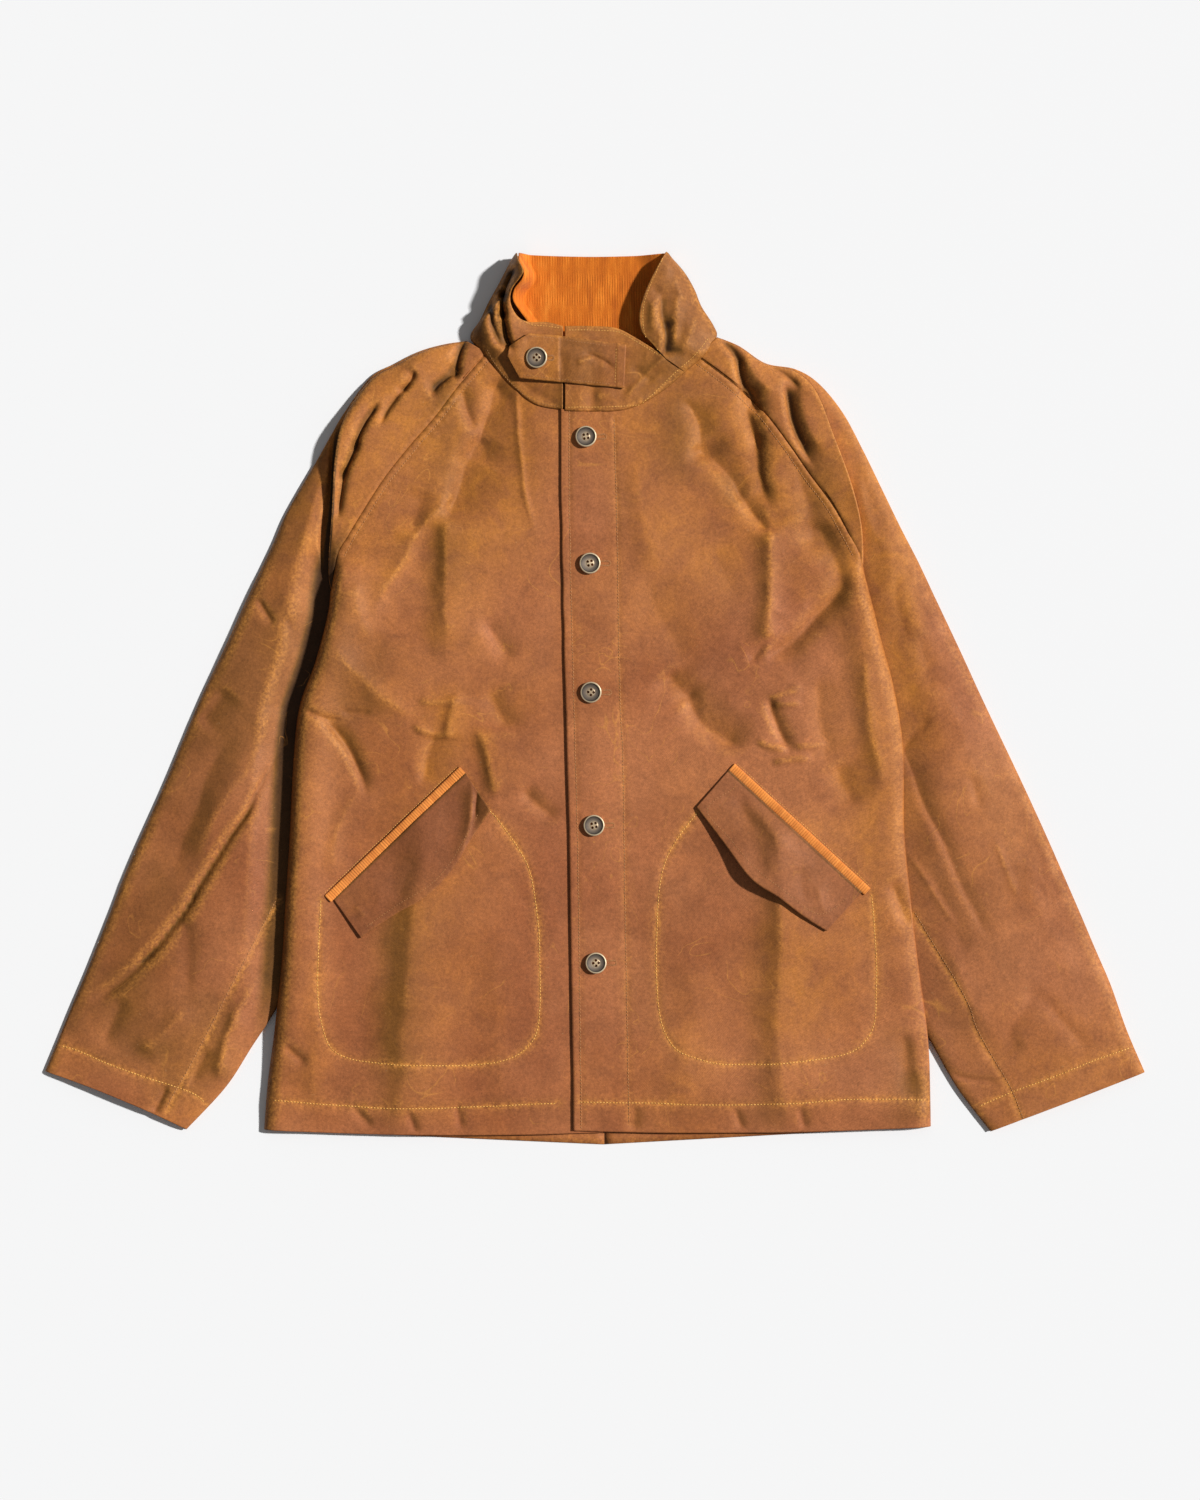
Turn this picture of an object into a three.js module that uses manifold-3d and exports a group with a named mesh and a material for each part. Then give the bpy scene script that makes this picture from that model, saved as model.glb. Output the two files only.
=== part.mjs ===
// A waxed cotton jacket with a corduroy collar, fastened and laid flat on its back.
// Millimetres. +X is the viewer's right, +Y runs from the hem to the collar, +Z is up.
// The surface it rests on is Z = 0. Left and right in the names are the wearer's.

import * as THREE from 'three';
import { mergeVertices } from 'three/addons/utils/BufferGeometryUtils.js';
import Module from 'manifold-3d';

const wasm = await Module();
wasm.setup();

// Cloth and seams

const CLOTH = 1.2;
const CORDUROY = 1.6;
const SEAM = 0.3;
const FLOOR_LAYER = CLOTH / 2;
const SECOND_LAYER = FLOOR_LAYER + CLOTH + SEAM;
const ON_TOP = CLOTH + SEAM;
const SLEEVE_SEAM = 0.45;

// Heights of the cloth's middle surface above the ground

const BODY_LOFT = 9.5;
const BODY_LOWEST = 6.8;
const CAP_LOFT = 6;
const SLEEVE_LOFT = 5.4;
const SIDE_LIFT = 7.5;
const SIDE_BULGE = 2.5;
const LIFT_REACH = 60;
const LIFT_STOPS = [0, 0.25, 0.6, 1];
const ROLL_REACH = 14;

// The lap at the front: how far each front moves down or up, and where it is level again

const LAP_DOWN = -1.6;
const LAP_UP = 0.6;
const LAP_FULL = 28;
const LAP_ENDS = 62;

// Mesh spacing: how far apart the cross sections and their points lie

const PANEL_COLUMNS = 14;
const PANEL_STEP = 21;
const BACK_COLUMNS = 2;
const BACK_STEP = 23;
const LOBE_COLUMNS = 4;
const CAP_COLUMNS = 6;
const SLEEVE_STEP = 24;
const SEAM_STEPS = 2;

// Body sections, from the neck seam to the hem. x1, y1 is the end on the side seam or the
// raglan seam, x2, y2 the end at the front edge, bow how far the middle sags towards the hem.

const FRONT_RIGHT = [
  { x1: -105, y1: 345, x2: -2, y2: 288, bow: 19 },
  { x1: -133, y1: 312, x2: 0, y2: 259, bow: 8 },
  { x1: -158, y1: 279, x2: 0, y2: 227, bow: 4 },
  { x1: -182, y1: 251, x2: 0, y2: 199, bow: 1 },
  { x1: -207, y1: 219, x2: 1, y2: 169, bow: 0 },
  { x1: -231, y1: 182, x2: 1, y2: 141, bow: 0 },
  { x1: -243, y1: 162, x2: 1, y2: 126, bow: 0 },
  { x1: -254, y1: 142, x2: 2, y2: 111, bow: 0 },
  { x1: -260, y1: 109, x2: 2, y2: 87, bow: 0 },
  { x1: -263, y1: 84, x2: 2, y2: 67, bow: 0 },
  { x1: -275, y1: 38, x2: 3, y2: 29, bow: 0 },
  { x1: -291, y1: -8, x2: 4, y2: -11, bow: 0 },
  { x1: -297, y1: -61, x2: 5, y2: -63, bow: 0 },
  { x1: -301, y1: -138, x2: 7, y2: -139, bow: 0 },
  { x1: -305, y1: -201, x2: 8, y2: -202, bow: 0 },
  { x1: -309, y1: -265, x2: 9, y2: -266, bow: 0 },
  { x1: -316, y1: -329, x2: 10, y2: -329, bow: 0 },
  { x1: -323, y1: -380, x2: 11, y2: -381, bow: 2 },
  { x1: -327, y1: -430, x2: 11, y2: -433, bow: 4 },
];

const FRONT_LEFT = [
  { x1: 104, y1: 342, x2: -31, y2: 289, bow: 23 },
  { x1: 123, y1: 328, x2: -31, y2: 259, bow: 15 },
  { x1: 147, y1: 309, x2: -31, y2: 231, bow: 9 },
  { x1: 171, y1: 286, x2: -31, y2: 202, bow: 5 },
  { x1: 196, y1: 253, x2: -30, y2: 172, bow: 2 },
  { x1: 219, y1: 221, x2: -30, y2: 143, bow: 0 },
  { x1: 239, y1: 194, x2: -29, y2: 117, bow: 0 },
  { x1: 254, y1: 168, x2: -29, y2: 93, bow: 0 },
  { x1: 267, y1: 143, x2: -28, y2: 69, bow: 0 },
  { x1: 276, y1: 109, x2: -28, y2: 47, bow: 0 },
  { x1: 288, y1: 59, x2: -27, y2: 14, bow: 0 },
  { x1: 301, y1: 9, x2: -26, y2: -21, bow: 0 },
  { x1: 310, y1: -51, x2: -25, y2: -66, bow: 0 },
  { x1: 311, y1: -132, x2: -23, y2: -132, bow: 0 },
  { x1: 318, y1: -205, x2: -22, y2: -205, bow: 0 },
  { x1: 325, y1: -265, x2: -21, y2: -265, bow: 0 },
  { x1: 334, y1: -331, x2: -20, y2: -331, bow: 0 },
  { x1: 337, y1: -381, x2: -19, y2: -381, bow: 2 },
  { x1: 338, y1: -427, x2: -19, y2: -431, bow: 4 },
];

// How many of those sections end on the raglan seam, which the sleeve's sections share

const SEAM_ROWS_RIGHT = 8;
const SEAM_ROWS_LEFT = 9;

const CENTRE_BACK = 12.5;
const BACK_NECK = 347;
const BACK_HEM = -445;

// Sleeve sections, from the collar to the cuff. x1, y1 is the outer fold, x2, y2 the raglan
// seam and then the underarm fold, fold where the shoulder cap ends as a share of the section,
// cap how much of the cap's height the section has.

const SLEEVE_RIGHT = [
  { x1: -125, y1: 357, x2: -105, y2: 345, bow: 0, fold: 0.03, cap: 1 },
  { x1: -147, y1: 354, x2: -133, y2: 312, bow: 0, fold: 0.03, cap: 1 },
  { x1: -172, y1: 347, x2: -158, y2: 279, bow: 0, fold: 0.03, cap: 1 },
  { x1: -196, y1: 335, x2: -182, y2: 251, bow: 0, fold: 0.03, cap: 1 },
  { x1: -221, y1: 321, x2: -207, y2: 219, bow: 0, fold: 0.03, cap: 1 },
  { x1: -247, y1: 286, x2: -231, y2: 182, bow: 0, fold: 0.05, cap: 1 },
  { x1: -260, y1: 264, x2: -243, y2: 162, bow: 0, fold: 0.25, cap: 1 },
  { x1: -274, y1: 239, x2: -254, y2: 142, bow: 0, fold: 0.7, cap: 1 },
  { x1: -304, y1: 187, x2: -262, y2: 110, bow: 0, fold: 0.93, cap: 0.4 },
  { x1: -319, y1: 153, x2: -265, y2: 85, bow: 0, fold: 0.93, cap: 0 },
  { x1: -342, y1: 105, x2: -258, y2: 47, bow: 0, fold: 0.85, cap: 0 },
  { x1: -366, y1: 52, x2: -262, y2: 9, bow: 0, fold: 0.7, cap: 0 },
  { x1: -392, y1: -3, x2: -272, y2: -39, bow: 0, fold: 0.6, cap: 0 },
  { x1: -427, y1: -86, x2: -280, y2: -116, bow: 0, fold: 0.5, cap: 0 },
  { x1: -460, y1: -160, x2: -286, y2: -201, bow: 0, fold: 0.5, cap: 0 },
  { x1: -482, y1: -216, x2: -291, y2: -256, bow: 0, fold: 0.5, cap: 0 },
  { x1: -504, y1: -271, x2: -314, y2: -307, bow: 0, fold: 0.5, cap: 0 },
  { x1: -521, y1: -311, x2: -340, y2: -348, bow: 0, fold: 0.5, cap: 0 },
  { x1: -534, y1: -343, x2: -366, y2: -388, bow: 0, fold: 0.5, cap: 0 },
  { x1: -546, y1: -372, x2: -405, y2: -430, bow: -3, fold: 0.5, cap: 0 },
];

const SLEEVE_LEFT = [
  { x1: 125, y1: 361, x2: 104, y2: 342, bow: 0, fold: 0.03, cap: 1 },
  { x1: 147, y1: 352, x2: 123, y2: 328, bow: 0, fold: 0.03, cap: 1 },
  { x1: 173, y1: 335, x2: 147, y2: 309, bow: 0, fold: 0.03, cap: 1 },
  { x1: 203, y1: 329, x2: 171, y2: 286, bow: 0, fold: 0.05, cap: 1 },
  { x1: 226, y1: 315, x2: 196, y2: 253, bow: 0, fold: 0.12, cap: 1 },
  { x1: 250, y1: 286, x2: 219, y2: 221, bow: 0, fold: 0.33, cap: 1 },
  { x1: 270, y1: 249, x2: 239, y2: 194, bow: 0, fold: 0.47, cap: 1 },
  { x1: 290, y1: 208, x2: 254, y2: 168, bow: 0, fold: 0.65, cap: 1 },
  { x1: 308, y1: 171, x2: 267, y2: 143, bow: 0, fold: 0.87, cap: 0.8 },
  { x1: 326, y1: 136, x2: 280, y2: 107, bow: 0, fold: 0.93, cap: 0.3 },
  { x1: 342, y1: 102, x2: 286, y2: 81, bow: 0, fold: 0.93, cap: 0 },
  { x1: 368, y1: 47, x2: 276, y2: 31, bow: 0, fold: 0.85, cap: 0 },
  { x1: 390, y1: -1, x2: 286, y2: -29, bow: 0, fold: 0.7, cap: 0 },
  { x1: 421, y1: -66, x2: 292, y2: -101, bow: 0, fold: 0.6, cap: 0 },
  { x1: 451, y1: -131, x2: 297, y2: -173, bow: 0, fold: 0.5, cap: 0 },
  { x1: 483, y1: -204, x2: 303, y2: -241, bow: 0, fold: 0.5, cap: 0 },
  { x1: 503, y1: -251, x2: 312, y2: -296, bow: 0, fold: 0.5, cap: 0 },
  { x1: 518, y1: -286, x2: 339, y2: -344, bow: 0, fold: 0.5, cap: 0 },
  { x1: 534, y1: -331, x2: 365, y2: -389, bow: 0, fold: 0.5, cap: 0 },
  { x1: 552, y1: -373, x2: 398, y2: -432, bow: 0, fold: 0.5, cap: 0 },
];

// How high each side of the body is carried by the sleeve under it, down the side seam

const LIFT_RIGHT = [
  { y: 145, share: 0 }, { y: 80, share: 1 }, { y: -310, share: 1 }, { y: -375, share: 0 },
];
const LIFT_LEFT = [
  { y: 140, share: 0 }, { y: 75, share: 1 }, { y: -345, share: 1 }, { y: -400, share: 0 },
];

// Creases of the cloth: from x1, y1 to x2, y2, how wide to each side and how high.
// A height below nothing is a trough.

const CREASES = [
  { x1: -148, y1: 191, x2: -214, y2: 89, wide: 13, high: 3.2 },
  { x1: -94, y1: 286, x2: -117, y2: 235, wide: 9, high: -2.6 },
  { x1: -117, y1: 235, x2: -133, y2: 140, wide: 9, high: -2.6 },
  { x1: -143, y1: 199, x2: -145, y2: 64, wide: 8, high: -1.8 },
  { x1: -71, y1: 294, x2: -62, y2: 200, wide: 7, high: 2.2 },
  { x1: -283, y1: -13, x2: -250, y2: -20, wide: 7, high: -2.2 },
  { x1: -173, y1: -36, x2: -138, y2: -38, wide: 7, high: -1.6 },
  { x1: -164, y1: -147, x2: -183, y2: -248, wide: 11, high: -2.8 },
  { x1: -183, y1: -248, x2: -206, y2: -397, wide: 12, high: -2.4 },
  { x1: 95, y1: 294, x2: 110, y2: 243, wide: 9, high: -2.6 },
  { x1: 110, y1: 243, x2: 176, y2: 172, wide: 10, high: -2.6 },
  { x1: 161, y1: 306, x2: 175, y2: 207, wide: 8, high: -2.2 },
  { x1: 178, y1: 174, x2: 174, y2: 44, wide: 8, high: 2 },
  { x1: 245, y1: 110, x2: 171, y2: 41, wide: 11, high: 3.2 },
  { x1: 227, y1: 191, x2: 261, y2: 115, wide: 8, high: -2.8 },
  { x1: 95, y1: 0, x2: 136, y2: -46, wide: 10, high: -2 },
  { x1: 180, y1: -137, x2: 177, y2: -248, wide: 12, high: -2.8 },
  { x1: 177, y1: -248, x2: 186, y2: -399, wide: 12, high: -2.6 },
  { x1: -218, y1: 290, x2: -234, y2: 252, wide: 7, high: -4 },
  { x1: -234, y1: 252, x2: -250, y2: 195, wide: 7, high: -4 },
  { x1: -170, y1: 330, x2: -205, y2: 281, wide: 10, high: -3.4 },
  { x1: -126, y1: 356, x2: -152, y2: 310, wide: 8, high: -4 },
  { x1: 131, y1: 355, x2: 148, y2: 334, wide: 7, high: -4 },
  { x1: 148, y1: 334, x2: 166, y2: 289, wide: 7, high: -4 },
  { x1: 193, y1: 308, x2: 215, y2: 242, wide: 7, high: -4 },
  { x1: 177, y1: 334, x2: 204, y2: 311, wide: 7, high: -3 },
  { x1: -299, y1: -37, x2: -333, y2: -99, wide: 9, high: -2.2 },
  { x1: -333, y1: -99, x2: -415, y2: -221, wide: 9, high: -2.6 },
  { x1: -415, y1: -221, x2: -488, y2: -290, wide: 9, high: -2.4 },
  { x1: -350, y1: -85, x2: -440, y2: -222, wide: 12, high: 1.8 },
  { x1: -313, y1: -270, x2: -382, y2: -335, wide: 8, high: -1.8 },
  { x1: -405, y1: -366, x2: -436, y2: -410, wide: 7, high: -1.6 },
  { x1: 340, y1: -50, x2: 392, y2: -168, wide: 14, high: 2 },
  { x1: 392, y1: -168, x2: 414, y2: -254, wide: 12, high: 1.6 },
  { x1: 402, y1: -143, x2: 423, y2: -197, wide: 10, high: -1.6 },
  { x1: 362, y1: -377, x2: 411, y2: -384, wide: 7, high: -1.6 },
];

// Soft rises of the upper cloth above its plain height

const SWELLS = [
  { x: -238, y: 262, radius: 62, high: CAP_LOFT },
  { x: 228, y: 262, radius: 62, high: CAP_LOFT },
  { x: 0, y: 330, radius: 90, high: 1 },
];

// Collar sections from the neck seam, or from where the collar turns under, to its free edge

const COLLAR_RIGHT = [
  { x1: -29, y1: 288, z1: 12.4, x2: -29, y2: 371, z2: 15.6 },
  { x1: -56, y1: 293, z1: 12.4, x2: -45, y2: 375, z2: 16 },
  { x1: -77, y1: 309, z1: 12.4, x2: -63, y2: 375, z2: 18 },
  { x1: -95, y1: 330, z1: 12, x2: -74, y2: 380, z2: 22 },
  { x1: -105, y1: 347, z1: 11.5, x2: -81, y2: 393, z2: 29 },
  { x1: -118, y1: 363, z1: 5, x2: -79, y2: 406, z2: 35 },
  { x1: -111, y1: 379, z1: 3.2, x2: -70, y2: 418, z2: 38 },
  { x1: -103, y1: 396, z1: 3.2, x2: -68, y2: 424, z2: 38 },
  { x1: -92, y1: 416, z1: 3.2, x2: -73, y2: 435, z2: 31 },
  { x1: -80, y1: 439, z1: 3.2, x2: -75, y2: 444, z2: 14 },
];

const COLLAR_LEFT = [
  { x1: -27, y1: 287, z1: 12.4, x2: -27, y2: 371, z2: 15.6 },
  { x1: -3, y1: 286, z1: 12.4, x2: -2, y2: 371, z2: 15.6 },
  { x1: 26, y1: 287, z1: 12.4, x2: 24, y2: 369, z2: 15.6 },
  { x1: 47, y1: 293, z1: 12.4, x2: 44, y2: 359, z2: 16 },
  { x1: 67, y1: 308, z1: 12.4, x2: 60, y2: 349, z2: 17 },
  { x1: 84, y1: 324, z1: 12.4, x2: 73, y2: 340, z2: 18 },
];

const COLLAR_LEAF = [
  { x1: 91, y1: 331, z1: 12.6, x2: 76, y2: 340, z2: 20 },
  { x1: 106, y1: 347, z1: 12, x2: 60, y2: 353, z2: 25 },
  { x1: 120, y1: 363, z1: 5, x2: 49, y2: 366, z2: 28 },
  { x1: 120, y1: 373, z1: 3.2, x2: 47, y2: 383, z2: 30 },
  { x1: 109, y1: 392, z1: 3.2, x2: 52, y2: 402, z2: 30 },
  { x1: 102, y1: 409, z1: 3.2, x2: 60, y2: 420, z2: 29 },
  { x1: 92, y1: 426, z1: 3.2, x2: 68, y2: 435, z2: 27 },
  { x1: 79, y1: 441, z1: 3.2, x2: 74, y2: 445, z2: 20 },
];

const COLLAR_FACING = [
  { x1: -73, y1: 444, z1: 13, x2: 73, y2: 444, z2: 12, bow: 5 },
  { x1: -72.4, y1: 434, z1: 29.5, x2: 80, y2: 434, z2: 13, bow: 2 },
  { x1: -67.6, y1: 423, z1: 36.6, x2: 86, y2: 423, z2: 13, bow: 0 },
  { x1: -69.6, y1: 415, z1: 36, x2: 90, y2: 413, z2: 13, bow: 0 },
  { x1: -76.8, y1: 406, z1: 33, x2: 93, y2: 402, z2: 13, bow: 0 },
  { x1: -78.4, y1: 396, z1: 28, x2: 95, y2: 391, z2: 13, bow: 0 },
  { x1: -72, y1: 386, z1: 20, x2: 97, y2: 380, z2: 12, bow: 0 },
  { x1: -65, y1: 377, z1: 12, x2: 92, y2: 368, z2: 10, bow: 0 },
  { x1: -60, y1: 366, z1: 6, x2: 84, y2: 357, z2: 6, bow: 0 },
  { x1: -58, y1: 349, z1: 4, x2: 76, y2: 349, z2: 4, bow: 0 },
];
const FACING_HEIGHT = 4;
const FACING_LEFT_WALL = 12;
const FACING_RIGHT_WALL = 34;

const COLLAR_BACK = [
  { x1: -102, y1: BACK_NECK + SEAM, x2: 102, y2: BACK_NECK + SEAM, bow: 0 },
  { x1: -116, y1: 362, x2: 118, y2: 364, bow: 0 },
  { x1: -110, y1: 378, x2: 117, y2: 376, bow: 0 },
  { x1: -102, y1: 396, x2: 107, y2: 394, bow: 0 },
  { x1: -91, y1: 416, x2: 97, y2: 416, bow: 0 },
  { x1: -76, y1: 443, x2: 76, y2: 443, bow: 4 },
];

// Throat tab, from its pointed end to its sewn end

const TAB = [
  { x1: -84, y1: 341, x2: -82, y2: 350, lift: 7 },
  { x1: -72, y1: 319, x2: -63, y2: 363, lift: 3.4 },
  { x1: -30, y1: 315, x2: -33, y2: 361, lift: 0.8 },
  { x1: 32, y1: 309, x2: 34, y2: 352, lift: 0.8 },
];

// Pockets: the welt's centre line, and the flap's free edge at shares along it

const WELT_WIDTH = 9;
const WELT_RIGHT = { x1: -263, y1: -199, x2: -129, y2: -71 };
const WELT_LEFT = { x1: 139, y1: -68, x2: 274, y2: -192 };
const FLAP_RIGHT = [
  { along: 0.02, x: -230, y: -238, lift: 1 },
  { along: 0.27, x: -195, y: -214, lift: 2 },
  { along: 0.52, x: -163, y: -196, lift: 2.5 },
  { along: 0.75, x: -137, y: -168, lift: 3 },
  { along: 0.92, x: -118, y: -139, lift: 4 },
  { along: 1, x: -102, y: -111, lift: 6 },
];
const FLAP_LEFT = [
  { along: 0.0, x: 104, y: -108, lift: 3 },
  { along: 0.2, x: 130, y: -142, lift: 7 },
  { along: 0.4, x: 158, y: -177, lift: 9 },
  { along: 0.6, x: 188, y: -200, lift: 7 },
  { along: 0.8, x: 211, y: -217, lift: 3 },
  { along: 0.98, x: 233, y: -231, lift: 1 },
];

// Buttons: on the front edge, then on the throat tab

const BUTTON_RADIUS = 10.5;
const BUTTON_HEIGHT = 3.6;
const HOLE_RADIUS = 1.1;
const HOLE_SPACING = 2.7;
const FRONT_BUTTONS = [
  { x: -6, y: 261 }, { x: -2, y: 135 }, { x: -1, y: 6.5 }, { x: 2, y: -126 }, { x: 4, y: -263 },
];
const TAB_BUTTON = { x: -55, y: 339, radius: 9.8 };

// Colours

const WAXED = new THREE.MeshStandardMaterial({ color: 0xaa6c41, roughness: 0.75, metalness: 0 });
const CORD = new THREE.MeshStandardMaterial({ color: 0xd97a28, roughness: 0.9, metalness: 0 });
const BRASS = new THREE.MeshStandardMaterial({ color: 0xa08a62, roughness: 0.35, metalness: 1 });

const jacket = new THREE.Group();

// Curves through tables

function smooth(from, to, value) {
  const t = Math.min(1, Math.max(0, (value - from) / (to - from)));
  return t * t * (3 - 2 * t);
}

function roll(share) {
  const t = Math.min(1, Math.max(0, share));
  return Math.sqrt(1 - (1 - t) * (1 - t));
}

function through(before, from, to, after, t) {
  const start = (to - before) / 2;
  const end = (after - from) / 2;
  const rest = to - from;
  return from + t * (start + t * (3 * rest - 2 * start - end + t * (start + end - 2 * rest)));
}

function sectionAt(table, place) {
  const last = table.length - 1;
  const index = Math.min(last - 1, Math.floor(place));
  const rows = [-1, 0, 1, 2].map((k) => table[Math.min(last, Math.max(0, index + k))]);
  const section = {};
  for (const key of Object.keys(table[0])) {
    section[key] = through(...rows.map((row) => row[key]), place - index);
  }
  return section;
}

function sectionsOf(table, step, seamRows = 0) {
  const sections = [];
  for (let i = 0; i < table.length - 1; i += 1) {
    const [a, b] = [table[i], table[i + 1]];
    const first = Math.hypot(b.x1 - a.x1, b.y1 - a.y1);
    const second = Math.hypot(b.x2 - a.x2, b.y2 - a.y2);
    const plain = Math.max(1, Math.round(Math.max(first, second) / step));
    const count = i < seamRows - 1 ? SEAM_STEPS : plain;
    for (let k = 0; k < count; k += 1) sections.push(sectionAt(table, i + k / count));
  }
  sections.push(table[table.length - 1]);
  return sections;
}

function shareAt(table, y) {
  for (let i = 0; i < table.length - 1; i += 1) {
    const [a, b] = [table[i], table[i + 1]];
    if (y <= a.y && y >= b.y) return a.share + (b.share - a.share) * smooth(a.y, b.y, y);
  }
  return 0;
}

// Height of the upper cloth in plan: swells and creases on a plain height

function creaseHeight(x, y) {
  let height = 0;
  for (const crease of CREASES) {
    const dx = crease.x2 - crease.x1;
    const dy = crease.y2 - crease.y1;
    const long = Math.hypot(dx, dy);
    const along = ((x - crease.x1) * dx + (y - crease.y1) * dy) / long;
    const aside = ((x - crease.x1) * dy - (y - crease.y1) * dx) / long;
    const beyond = Math.max(0, -along, along - long);
    const reach = Math.hypot(aside, beyond) / crease.wide;
    if (reach < 3) height += crease.high * Math.exp(-reach * reach);
  }
  return height;
}

function loft(x, y) {
  let height = BODY_LOFT;
  for (const swell of SWELLS) {
    const reach = Math.hypot(x - swell.x, y - swell.y) / swell.radius;
    height += swell.high * Math.exp(-reach * reach);
  }
  return Math.max(BODY_LOWEST, height + creaseHeight(x, y));
}

// A point of a section: share along it, sagging by its bow

function pointOn(section, share) {
  const { x1, y1, x2, y2, bow } = section;
  const long = Math.hypot(x2 - x1, y2 - y1);
  const sag = (4 * share * (1 - share) * bow) / long;
  const side = x2 > x1 ? 1 : -1;
  return {
    x: x1 + (x2 - x1) * share + sag * (y2 - y1) * side,
    y: y1 + (y2 - y1) * share - sag * (x2 - x1) * side,
    long,
  };
}

// A sheet of cloth: a grid of middle points, thickened along its normals and closed round

function sheetMesh(name, grid, thickness, material) {
  const rows = grid.length;
  const columns = grid[0].length;
  const within = (value, last) => Math.min(last, Math.max(0, value));
  const at = (i, j) => grid[within(i, rows - 1)][within(j, columns - 1)];
  const outer = [];
  const inner = [];
  const across = new THREE.Vector3();
  const down = new THREE.Vector3();
  for (let i = 0; i < rows; i += 1) {
    for (let j = 0; j < columns; j += 1) {
      across.subVectors(at(i, j + 1), at(i, j - 1));
      down.subVectors(at(i - 1, j), at(i + 1, j));
      const normal = new THREE.Vector3().crossVectors(across, down).normalize();
      if (normal.z < 0) normal.negate();
      outer.push(at(i, j).clone().addScaledVector(normal, thickness / 2));
      inner.push(at(i, j).clone().addScaledVector(normal, -thickness / 2));
    }
  }
  const points = [...outer, ...inner];
  const below = outer.length;
  const faces = [];
  const quad = (a, b, c, d) => faces.push(a, b, c, a, c, d);
  for (let i = 0; i < rows - 1; i += 1) {
    for (let j = 0; j < columns - 1; j += 1) {
      const a = i * columns + j;
      quad(a, a + columns, a + columns + 1, a + 1);
      quad(below + a, below + a + 1, below + a + columns + 1, below + a + columns);
    }
  }
  const rim = [];
  for (let i = 0; i < rows - 1; i += 1) rim.push(i * columns);
  for (let j = 0; j < columns - 1; j += 1) rim.push((rows - 1) * columns + j);
  for (let i = rows - 1; i > 0; i -= 1) rim.push(i * columns + columns - 1);
  for (let j = columns - 1; j > 0; j -= 1) rim.push(j);
  rim.forEach((a, k) => {
    const b = rim[(k + 1) % rim.length];
    quad(b, a, below + a, below + b);
  });
  const geometry = new THREE.BufferGeometry();
  const numbers = points.flatMap((p) => [p.x, p.y, p.z]);
  geometry.setAttribute('position', new THREE.Float32BufferAttribute(numbers, 3));
  const plan = new THREE.Vector3().crossVectors(
    new THREE.Vector3().subVectors(grid[0][columns - 1], grid[0][0]),
    new THREE.Vector3().subVectors(grid[0][0], grid[rows - 1][0]),
  );
  if (plan.z < 0) {
    for (let k = 0; k < faces.length; k += 3) [faces[k], faces[k + 1]] = [faces[k + 1], faces[k]];
  }
  geometry.setIndex(faces);
  const mesh = new THREE.Mesh(geometry, material);
  mesh.name = name;
  jacket.add(mesh);
  return mesh;
}

// Body fronts: rolled down at the side seam, lapped at the front edge

function frontHeight(x, y, fromSide, liftTable) {
  const lift = SIDE_LIFT * shareAt(liftTable, y);
  const openSide = 1 - smooth(120, 150, y);
  const bulge = SIDE_BULGE * Math.exp(-(((fromSide - 20) / 20) ** 2)) * openSide;
  const top = loft(x, y) + bulge;
  const edge = SECOND_LAYER + 2 * SEAM + lift;
  const turned = roll(fromSide / ROLL_REACH);
  return top + (edge - top) * (1 - turned) * openSide;
}

function front(name, table, seamRows, liftTable, lap) {
  const grid = sectionsOf(table, PANEL_STEP, seamRows).map((section) => {
    const row = [];
    for (let j = 0; j <= PANEL_COLUMNS; j += 1) {
      const share = (j / PANEL_COLUMNS) ** 1.25;
      const { x, y, long } = pointOn(section, share);
      const fromFront = (1 - share) * long;
      const lapped = lap * (1 - smooth(LAP_FULL, LAP_ENDS, fromFront));
      row.push(new THREE.Vector3(x, y, frontHeight(x, y, share * long, liftTable) + lapped));
    }
    return row;
  });
  return sheetMesh(name, grid, CLOTH, WAXED);
}

// Body backs: flat on the ground, carried up by the sleeve at the side

function back(name, table, seamRows, liftTable) {
  const top = table[0].y1;
  const bottom = table[table.length - 1].y1;
  const inner = CENTRE_BACK + (SEAM / 2) * Math.sign(table[0].x1);
  const rows = table.map((row) => ({
    x1: row.x1,
    y1: row.y1,
    x2: inner,
    y2: BACK_NECK + ((row.y1 - top) / (bottom - top)) * (BACK_HEM - BACK_NECK),
    bow: 0,
  }));
  const grid = sectionsOf(rows, BACK_STEP, seamRows).map((section) => {
    const { long } = pointOn(section, 0);
    const reach = Math.min(LIFT_REACH, long / 2);
    const stops = LIFT_STOPS.map((stop) => (stop * reach) / long);
    for (let j = 1; j <= BACK_COLUMNS; j += 1) {
      stops.push(reach / long + (1 - reach / long) * (j / BACK_COLUMNS));
    }
    return stops.map((share) => {
      const { x, y } = pointOn(section, share);
      const lift = SIDE_LIFT * shareAt(liftTable, y) * (1 - smooth(0, LIFT_REACH, share * long));
      return new THREE.Vector3(x, y, FLOOR_LAYER + lift);
    });
  });
  return sheetMesh(name, grid, CLOTH, WAXED);
}

// Sleeves: a flattened tube, its upper layer stepping down where the shoulder cap ends

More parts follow.
